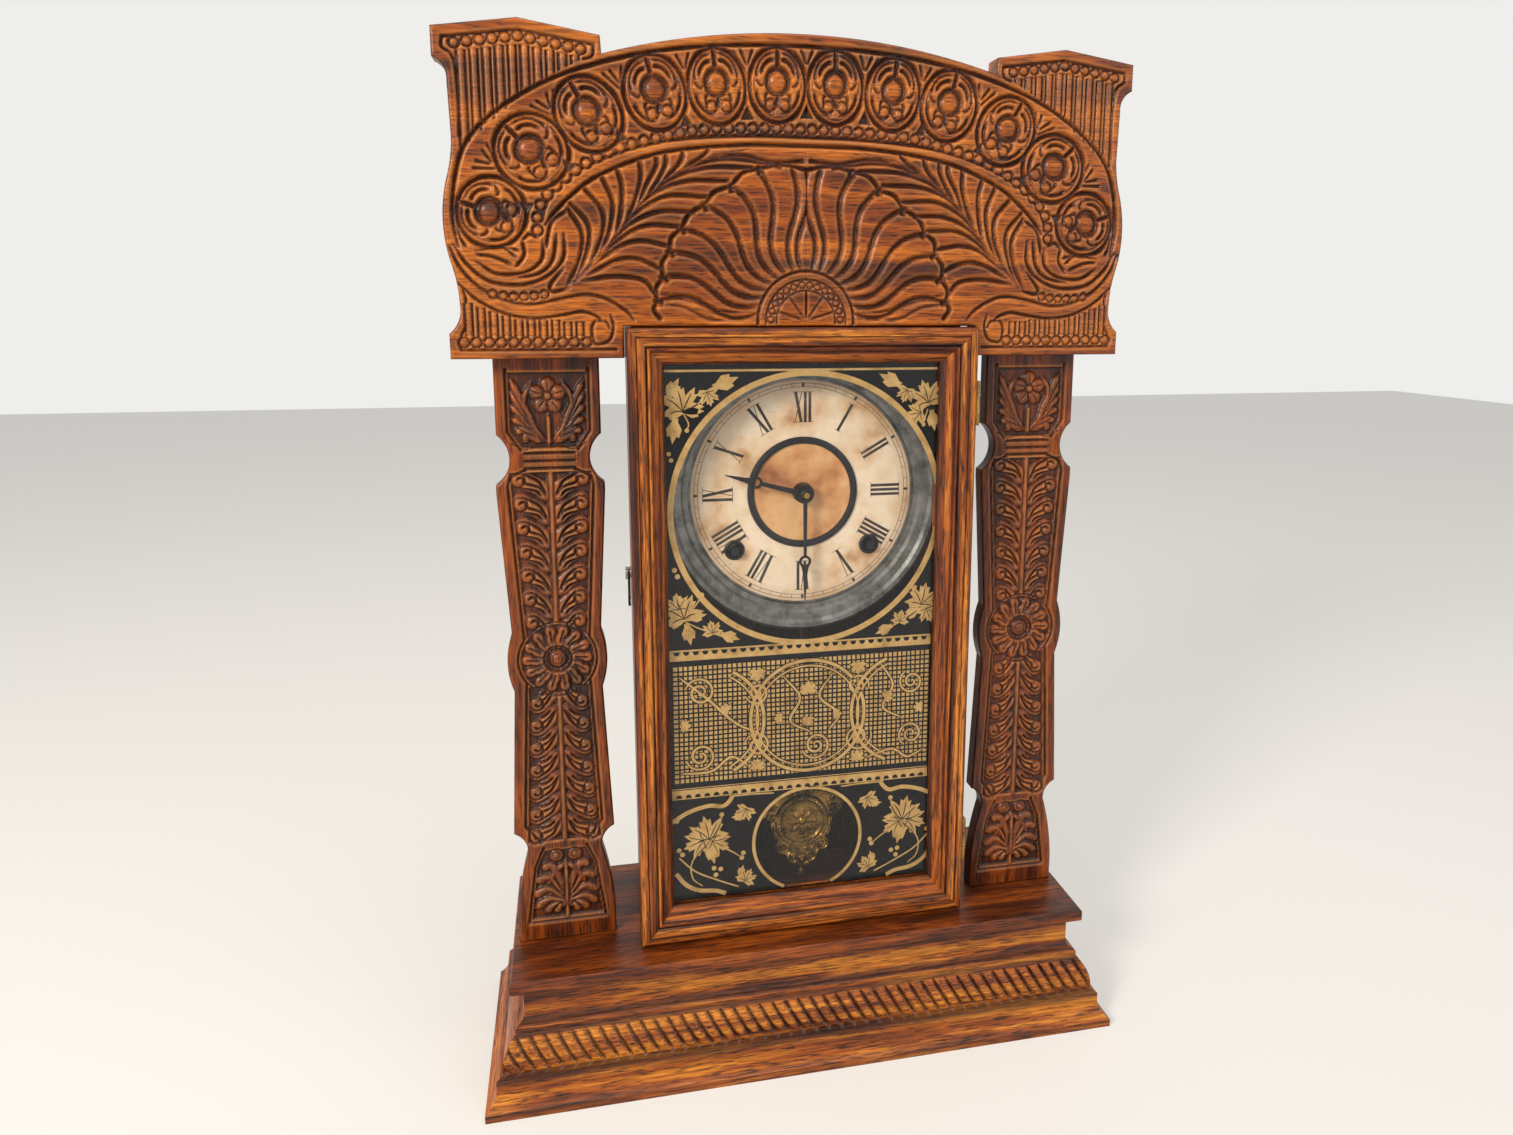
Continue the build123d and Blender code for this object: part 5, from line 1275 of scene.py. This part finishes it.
# %% The lower part
BORDER_LINES = (([(96, 141), (86, 145.5), (76, 151), (64, 154), (55, 153.0), (50, 157.5), (50, 160)], 2.6),
                ([(50, 158.8), (36, 158.8), (24, 158.2)], 0.9),
                ([(84, 112), (78, 104), (70, 99.5), (60, 98), (54, 95.5)], 2.6),
                ([(82, 122), (72, 112), (58, 104.5), (46, 99)], 1.0))
for side in (-1, 1):
    def mirrored(points):
        return [(LOW_RING[0] + side * (x - LOW_RING[0]), z) for x, z in points]

    for run, width in BORDER_LINES:
        paint["bronze"].append(ribbon(mirrored(run), width))
    spot = mirrored([(64, 133.5)])[0]
    maple_leaf(spot, 14.5, side * -12)
    maple_leaf((spot[0] + side * 4, spot[1] - 2), 12.0, side * -110)
    maple_leaf((spot[0] - side * 3, spot[1] - 3), 11.0, side * 120)
    bud((spot[0] - side * 1, spot[1] - 8), 10.0, 180 - side * 14)
    stem(mirrored([(64, 130), (52, 124), (45, 119)]))
    stem(mirrored([(64, 130), (58, 139), (56, 146)]))
    stem(mirrored([(64, 130), (74, 119), (74, 108), (68, 102)]))
    for at, size, lean in (((41, 149), 8.0, -150), ((42, 103), 8.0, 30)):
        maple_leaf(mirrored([at])[0], size, side * lean)
        bud(mirrored([(at[0] + 3, at[1] + (4 if at[1] < 120 else -4))])[0], size * 0.8, side * lean * 0.6)
    berries(*mirrored([(57, 112), (60, 108.5), (61, 113), (80, 124), (82, 127), (56, 147.5), (44, 118),
                       (43, 121),
                       (83, 146)]), radius=1.5)
print("shapes", {k: len(v) for k, v in paint.items()})

# %% [markdown]
# The four layers of paint are now made, with two finishes. Bronze powder in size is half paint and half
# metal: it glints a little and has worn thin in places. The black is asphalt varnish, smooth from behind
# the glass.

# %% The tablet's paint
bronze_paint, tree, shader = new_material("bronze_powder_paint", 0.46, 0.25)
place = add(tree, "ShaderNodeTexCoord").outputs["Object"]
worn = add(tree, "ShaderNodeTexNoise", inputs={"Vector": place, "Scale": 110.0, "Detail": 5.0,
                                               "Roughness": 0.7})
tree.links.new(add(tree, "ShaderNodeValToRGB", {"stops": [(0.28, "94753f"), (0.44, "bb955a"),
                                                          (0.70, "cfae70")]},
                                                          {"Fac": worn.outputs["Fac"]}).outputs["Color"],
               shader.inputs["Base Color"])
shader.inputs["Specular IOR Level"].default_value = 0.1
black_varnish, tree, shader = new_material("asphalt_varnish", 0.4)
place = add(tree, "ShaderNodeTexCoord").outputs["Object"]
haze = add(tree, "ShaderNodeTexNoise", inputs={"Vector": place, "Scale": 24.0, "Detail": 4.0})
tree.links.new(add(tree, "ShaderNodeValToRGB", {"stops": [(0.4, "060607"), (0.75, "111114")]},
                   {"Fac": haze.outputs["Fac"]}).outputs["Color"], shader.inputs["Base Color"])
shader.inputs["Specular IOR Level"].default_value = 0.05

for layer, (near, far) in PAINT_DEPTHS.items():
    finish = bronze_paint if layer in ("fine", "bronze") else black_varnish
    slabs("tablet_" + layer, paint[layer], near, far, finish, "door")

# %% [markdown]
# The dial is paper on zinc: a cream sheet with twelve Roman numerals that read from the middle, a minute
# track and small diamonds at the hours. Each numeral is made of thick and thin pen strokes, set along a
# radius. The strokes are drawn once for each letter and placed side by side.

# %% The dial's numerals
DIAL = (3.0, 340.1)
FOOT, HEAD = 42.2, 60.0
ink_lines = []
NUMERALS = ("I", "II", "III", "IIII", "V", "VI", "VII", "VIII", "IX", "X", "XI", "XII")
SPACE = {"I": 2.75, "V": 5.4, "X": 5.6}


def radial(points, hour):
    """Points drawn about the 12 o'clock radius, turned to their hour."""
    return turned(points, DIAL, -30 * hour)


for hour, letters in enumerate(NUMERALS, 1):
    wide = sum(SPACE[letter] for letter in letters)
    x = -wide / 2
    for letter in letters:
        w = SPACE[letter]
        if letter == "I":
            strokes = [((x + w / 2, FOOT), (x + w / 2, HEAD), 1.7)]
        elif letter == "V":
            strokes = [((x + 1.1, HEAD), (x + w / 2, FOOT), 1.8),
                       ((x + w - 0.7, HEAD), (x + w / 2, FOOT), 0.45)]
        else:
            strokes = [((x + 1.1, HEAD), (x + w - 1.1, FOOT), 1.8),
                       ((x + w - 0.8, HEAD), (x + 0.8, FOOT), 0.45)]
        for a, b, thick in strokes:
            ink_lines.append(radial([(a[0] - thick / 2, a[1]), (b[0] - thick / 2, b[1]),
                                     (b[0] + thick / 2, b[1]), (a[0] + thick / 2, a[1])], hour))
        x += w
    for level in (FOOT, HEAD):
        ink_lines.append(radial([(-wide / 2 - 0.7, level - 0.14), (wide / 2 + 0.7, level - 0.14),
                                 (wide / 2 + 0.7, level + 0.14), (-wide / 2 - 0.7, level + 0.14)], hour))
    ink_lines.append(radial([(0, 62.4), (1.0, 64.1), (0, 66.0), (-1.0, 64.1)], hour))

# %% [markdown]
# Two thin rounds with sixty strokes between them make the minute track. The ink has faded to brown in
# places, so its colour follows a soft noise.

# %% The minute track
for radius in (63.0, 65.2):
    ink_lines += ring_shapes(DIAL, radius + 0.13, radius - 0.13, parts=6)
for minute in range(60):
    ink_lines.append(turned([(-0.13, 63.0), (0.13, 63.0), (0.13, 65.2), (-0.13, 65.2)], DIAL, -6 * minute))

ink, tree, shader = new_material("printing_ink", 0.8)
place = add(tree, "ShaderNodeTexCoord").outputs["Object"]
faded = add(tree, "ShaderNodeTexNoise", inputs={"Vector": place, "Scale": 60.0, "Detail": 4.0,
                                                "Roughness": 0.7})
tree.links.new(add(tree, "ShaderNodeValToRGB", {"stops": [(0.40, "262322"), (0.62, "4a423a"),
                                                          (0.78, "8d7d63")]},
                                                          {"Fac": faded.outputs["Fac"]}).outputs["Color"],
               shader.inputs["Base Color"])
slabs("dial_printing", ink_lines, -2.56, -2.51, ink, "case")

# %% [markdown]
# Old dial paper goes brown from the middle, where the centre arbor's oil and the pendulum's air reach
# it, and round its edge. The colour follows the distance from the dial's centre, broken up by noise at
# two sizes: stains of a centimetre or two, and fine foxing.

# %% Dial paper
paper, tree, shader = new_material("rag_paper", 0.75)
place = add(tree, "ShaderNodeTexCoord").outputs["Object"]
centred = add(tree, "ShaderNodeMapping", {"vector_type": "POINT"},
              {"Vector": place, "Location": (-DIAL[0] / 1000, 0.0025, -DIAL[1] / 1000)}).outputs["Vector"]
reach = add(tree, "ShaderNodeVectorMath", {"operation": "LENGTH"}, {0: centred}).outputs["Value"]
stains = add(tree, "ShaderNodeTexNoise", inputs={"Vector": centred, "Scale": 32.0, "Detail": 3.0,
                                                 "Roughness": 0.55})
fine_spots = add(tree, "ShaderNodeTexNoise", inputs={"Vector": centred, "Scale": 420.0, "Detail": 3.0})
outer = add(tree, "ShaderNodeValToRGB", {"stops": [(0.34, "bd8e60"), (0.43, "dfc09a"), (0.58, "efdcc0"),
                                                   (0.75, "e6cda9")]},
                                                   {"Fac": stains.outputs["Fac"]}).outputs["Color"]
middle_tone = add(tree, "ShaderNodeValToRGB", {"stops": [(0.36, "9a5c36"), (0.46, "c98d58"),
                                                         (0.60, "dfb17c"), (0.75, "d9a56e")]},
                                                         {"Fac": stains.outputs["Fac"]}).outputs["Color"]
in_middle = add(tree, "ShaderNodeMapRange", inputs={"Value": reach, "From Min": 0.0304, "From Max": 0.0300})
tone = add(tree, "ShaderNodeMix", {"data_type": "RGBA"},
           {"Factor": in_middle.outputs["Result"], "A": outer, "B": middle_tone}).outputs["Result"]
at_edge = add(tree, "ShaderNodeMapRange", inputs={"Value": reach, "From Min": 0.0585, "From Max": 0.0675,
                                                  "To Max": 0.55})
tone = add(tree, "ShaderNodeMix", {"data_type": "RGBA"},
           {"Factor": at_edge.outputs["Result"], "A": tone, "B": colour("b48c60")}).outputs["Result"]
spots = add(tree, "ShaderNodeMapRange", inputs={"Value": fine_spots.outputs["Fac"], "From Min": 0.62,
                                                "From Max": 0.8, "To Max": 0.5})
tone = add(tree, "ShaderNodeMix", {"data_type": "RGBA"},
           {"Factor": spots.outputs["Result"], "A": tone, "B": colour("8a6238")}).outputs["Result"]
tree.links.new(tone, shader.inputs["Base Color"])
print("paper reaches 67 mm from", DIAL)

# %% [markdown]
# The bob is a thin brass pressing over a cast weight. Its relief is worked out like the carving: a
# domed medallion with a beaded rim and a flower, in a frame of scrolls. The weight behind it is a turned
# disc, so it starts as a cylinder with its edges bevelled.

# %% The bob
BOB = (3.0, 129.6)
bob_half = through((0, 20.5), (6.5, 21.5), (12.0, 18.5), 8)[:-1]
for a, b, c in (((12.0, 18.5), (20.0, 20.0), (26.0, 13.5)), ((26.0, 13.5), (26.8, 6.0), (20.5, 2.0)),
                ((20.5, 2.0), (19.5, -7.0), (16.5, -13.0)), ((16.5, -13.0), (16.2, -20.0), (10.0, -24.0)),
                ((10.0, -24.0), (5.5, -31.0), (0, -33.5))):
    bob_half += through(a, b, c, 8)[:-1]
bob_half.append((0, -33.5))
bob_outline = bob_half + [(-x, z) for x, z in reversed(bob_half) if x > 0.01]
bob_sheet = new_panel(-28, 28, -34.5, 23, 0.4)
away = np.hypot(bob_sheet["x"], bob_sheet["z"])
bob_sheet["depth"] = np.where(away < 16.6, -0.5 - 1.9 * (away / 16.6) ** 3, -2.9)
for radius, high in ((16.2, 1.9), (13.2, 1.3)):
    ridge(bob_sheet, arc((0, 0), radius, 0, 360, 60), 0.9, high, -2.6 + (16.2 - radius) * 0.45,
          curved=False)
for k in range(36):
    bead(bob_sheet, 14.7 * math.cos(math.radians(10 * k)), 14.7 * math.sin(math.radians(10 * k)), 0.75,
         height=1.2, ground=-2.2, moat=0.2)
for k in range(8):
    x, z = 6.2 * math.cos(math.radians(45 * k)), 6.2 * math.sin(math.radians(45 * k))
    bead(bob_sheet, x, z, 3.6, 1.7, 45 * k, 1.5, -1.6, 0.4)
bead(bob_sheet, 0, 0, 2.6, height=1.9, ground=-1.8, moat=0.4)
for side in (-1, 1):
    for x, z, size, start, way in ((20.8, 12.8, 5.2, 200, 1), (19.0, 3.4, 3.6, 60, -1),
                                   (13.2, -17.2, 4.4, 100, -1),
                                   (7.2, 19.0, 3.0, 180, -1), (5.4, -25.0, 4.0, 60, -1)):
        run = []
        for k in range(15):
            angle, reach = math.radians(start + way * 30 * k), size * (1 - 0.8 * k / 14)
            run.append((side * (x + reach * math.cos(angle)), z + reach * math.sin(angle)))
        ridge(bob_sheet, run, 0.85, 1.9, -2.9)
        bead(bob_sheet, side * x, z, 1.0, height=1.8, ground=-2.9, moat=0.2)
    for run in ([(17.5, 8), (20, 16), (13, 17.5)], [(17.6, -2), (18.0, -8), (15.4, -12)],
                [(11, -21), (8, -26), (2, -31)],
                [(2, 18), (5, 20), (10, 17.6)], [(9, -16), (6, -20), (1.5, -19)]):
        ridge(bob_sheet, [(side * x, z) for x, z in run], 0.75, 1.5, -2.9)
bead(bob_sheet, 0, -26.5, 1.8, height=2.2, ground=-2.9, moat=0.3)
moved = {"x": bob_sheet["x"] + BOB[0], "z": bob_sheet["z"] + BOB[1], "xs": bob_sheet["xs"] + BOB[0],
         "zs": bob_sheet["zs"] + BOB[1], "depth": bob_sheet["depth"]}
# The pressed brass is darker than the rolled brass, partly tarnish and partly painted shade for the dark
# inside of the case.
pressed_brass = metal("pressed_brass", "8a6a34", 0.24, "33240f")
pressing = carved_board("bob_pressing", moved, [(x + BOB[0], z + BOB[1]) for x, z in bob_outline], -6.2,
                        -1.0,
                        pressed_brass, edge=0.8)
attach(pressing, "pendulum", "pendulum_bob")

bpy.ops.object.select_all(action="DESELECT")
bpy.ops.mesh.primitive_cylinder_add(vertices=64, radius=0.015, depth=0.0048,
                                    location=(BOB[0] / 1000, 0.0014, BOB[1] / 1000),
                                    rotation=(math.pi / 2, 0, 0))
weight = bpy.context.object
weight.name = "bob_weight"
bpy.ops.object.transform_apply(location=True, rotation=True, scale=True)
rounding = weight.modifiers.new("rounding", "BEVEL")
rounding.width = 0.0007
rounding.segments = 3
bpy.ops.object.modifier_apply(modifier="rounding")
bpy.ops.object.shade_smooth_by_angle(angle=math.radians(40))
weight.data.materials.append(black_iron)
attach(weight, "pendulum", "pendulum_bob")
print("bob", [round(v * 1000, 1) for v in pressing.dimensions])

# %% [markdown]
# The pieces that keep their solid's shape get their finish by name, and the rest by the slot that the
# record gives them.

# %% Finishes by name
DOOR_EDGE = (100.0, 74.2, 438.1)


def door_hollows(tree, place, wood):
    """The door's quirks, which run at an even distance inside its outer edge, and its outer and inner edges
    are darkened: partly stain that gathers there, partly painted shade.
    """
    parts = add(tree, "ShaderNodeSeparateXYZ", inputs={"Vector": place}).outputs
    away = add(tree, "ShaderNodeMath", {"operation": "ABSOLUTE"}, {0: parts["X"]}).outputs["Value"]
    side, foot, head = (
        add(tree, "ShaderNodeMath", {"operation": "SUBTRACT"}, {0: far, 1: near}).outputs["Value"]
        for far, near in ((DOOR_EDGE[0] / 1000, away), (parts["Z"], DOOR_EDGE[1] / 1000),
                          (DOOR_EDGE[2] / 1000, parts["Z"])))
    least = side
    for other in (foot, head):
        least = add(tree, "ShaderNodeMath", {"operation": "MINIMUM"}, {0: least, 1: other}).outputs["Value"]
    share = add(tree, "ShaderNodeMapRange", inputs={"Value": least, "From Max": 0.0202})
    # The dark stops are stain and painted shade in the quirks and at the edges; the white stops leave the
    # wood as it is.
    tone = add(tree, "ShaderNodeValToRGB", {"stops": [(0.0, "9a7a65"), (0.10, "fff8f0"), (0.22, "ffffff"),
                                                      (0.255, "4a3428"), (0.29, "fff0e4"), (0.42, "ffffff"),
                                                      (0.50, "5a4030"), (0.56, "ffeadc"), (0.64, "a08070"),
                                                      (0.74, "ecd4c0"), (0.88, "d8bca6"), (1.0, "5c4232")]},
                                                      {"Fac": share.outputs["Result"]}).outputs["Color"]
    return add(tree, "ShaderNodeMix", {"data_type": "RGBA", "blend_type": "MULTIPLY"},
               {"Factor": 0.9, "A": wood, "B": tone}).outputs["Result"]


oak_door_upright = oak("oak_door_upright", "Z", "e89438", "a05214", "451c07", band=4, hollows=door_hollows)
oak_door_across = oak("oak_door_across", "X", "e89438", "a85816", "542409", band=4, hollows=door_hollows)
oak_shelf = oak("oak_worn_shelf", "X", "a45418", "7e3a10", "4e220a")
# The inside's dark colour is painted shade for the dark inside of the case.
oak_inside_painted_shade = oak("oak_unstained_inside_painted_shade", "Z", "4a3420", "38281a", "22170e")
finishes = {
    "base_top_board": oak_shelf, "base_front_moulding": oak_across, "base_back_rail": oak_across,
    "base_left_moulding": oak_deep, "base_right_moulding": oak_deep, "case_left_side": oak_upright,
    "case_right_side": oak_upright, "case_top": oak_across, "back_board": oak_inside_painted_shade,
    "dial_rails": oak_upright, "header_board": oak_across, "left_column": oak_upright,
    "right_column": oak_upright, "door_left_stile": oak_door_upright,
    "door_right_stile": oak_door_upright, "door_top_rail": oak_door_across,
    "door_bottom_rail": oak_door_across,
    "glass_stops": oak_upright, "hand_nut": black_steel, "time_winding_arbor": black_steel,
    "strike_winding_arbor": black_steel, "door_glass": glass, "dial_pan": dull_zinc,
    "gong_base": black_iron, "dial_paper": paper,
}
by_slot = {"brass": brass, "steel": bright_steel, "blackened_steel": black_steel, "zinc": dull_zinc,
           "cast_iron": black_iron, "oak": oak_upright, "glass": glass, "paper": paper}
slot_of = {s["node"]: s["material_slot"] for s in frame["record"]["subparts"]}


def finish_node(node, finish):
    """Gives a solid its finish, and leaves its mesh alone."""
    for one in frame["nodes"][node].material_slots:
        one.material = finish


for node in frame["nodes"]:
    finish_node(node, finishes.get(node) or by_slot.get(slot_of[node], brass))

# %% [markdown]
# The stage is a plain pale floor and wall, lit by soft lamps: a large one at the left front, as the
# window is in the photograph, and weaker ones from the right and above.

# %% Stage and light
def seen_directly(tree):
    """1 for the camera and for what it sees through glass or in metal, 0 for light on the object."""
    ray = add(tree, "ShaderNodeLightPath").outputs
    seen = ray["Is Camera Ray"]
    for other in ("Is Transmission Ray", "Is Glossy Ray"):
        seen = add(tree, "ShaderNodeMath", {"operation": "MAXIMUM"},
                   {0: seen, 1: ray[other]}).outputs["Value"]
    return seen


bpy.context.scene.view_settings.view_transform = "Standard"
stage_paint, tree, shader = new_material("pale_stage", 0.9)
shader.inputs["Base Color"].default_value = colour("d2d0cc")
glow = add(tree, "ShaderNodeMath", {"operation": "MULTIPLY"}, {0: seen_directly(tree), 1: 0.34})
shader.inputs["Emission Color"].default_value = colour("efeeeb")
tree.links.new(glow.outputs["Value"], shader.inputs["Emission Strength"])
bpy.ops.object.select_all(action="DESELECT")
bpy.ops.mesh.primitive_plane_add(size=8, location=(0, 0, 0))
floor = bpy.context.object
floor.name = "floor"
floor.data.materials.append(stage_paint)

world = bpy.data.worlds.new("studio")
bpy.context.scene.world = world
world.use_nodes = True
tree = world.node_tree
sky = tree.nodes["Background"]
sky.inputs["Color"].default_value = colour("efeeeb")
level = add(tree, "ShaderNodeMapRange", inputs={"Value": seen_directly(tree), "To Min": 0.42,
                                                "To Max": 1.0})
tree.links.new(level.outputs["Result"], sky.inputs["Strength"])


def lamp(name, place, aim, size, power, tint="fff6ea"):
    """A square soft lamp that faces aim. Its power is in watts."""
    data = bpy.data.lights.new(name, "AREA")
    data.shape = "SQUARE"
    data.size = size
    data.energy = power
    data.color = colour(tint)[:3]
    made = bpy.data.objects.new(name, data)
    bpy.context.scene.collection.objects.link(made)
    made.location = place
    made.rotation_euler = (Vector(aim) - Vector(place)).to_track_quat("-Z", "Y").to_euler()
    return made


lamp("window", (-1.5, -1.3, 1.25), (0, 0, 0.3), 0.6, 37)
lamp("room", (1.5, -1.5, 0.9), (0, 0, 0.3), 1.4, 7, "f4f2ff")
lamp("ceiling", (0.2, -0.3, 2.0), (0, 0, 0.3), 1.2, 12)
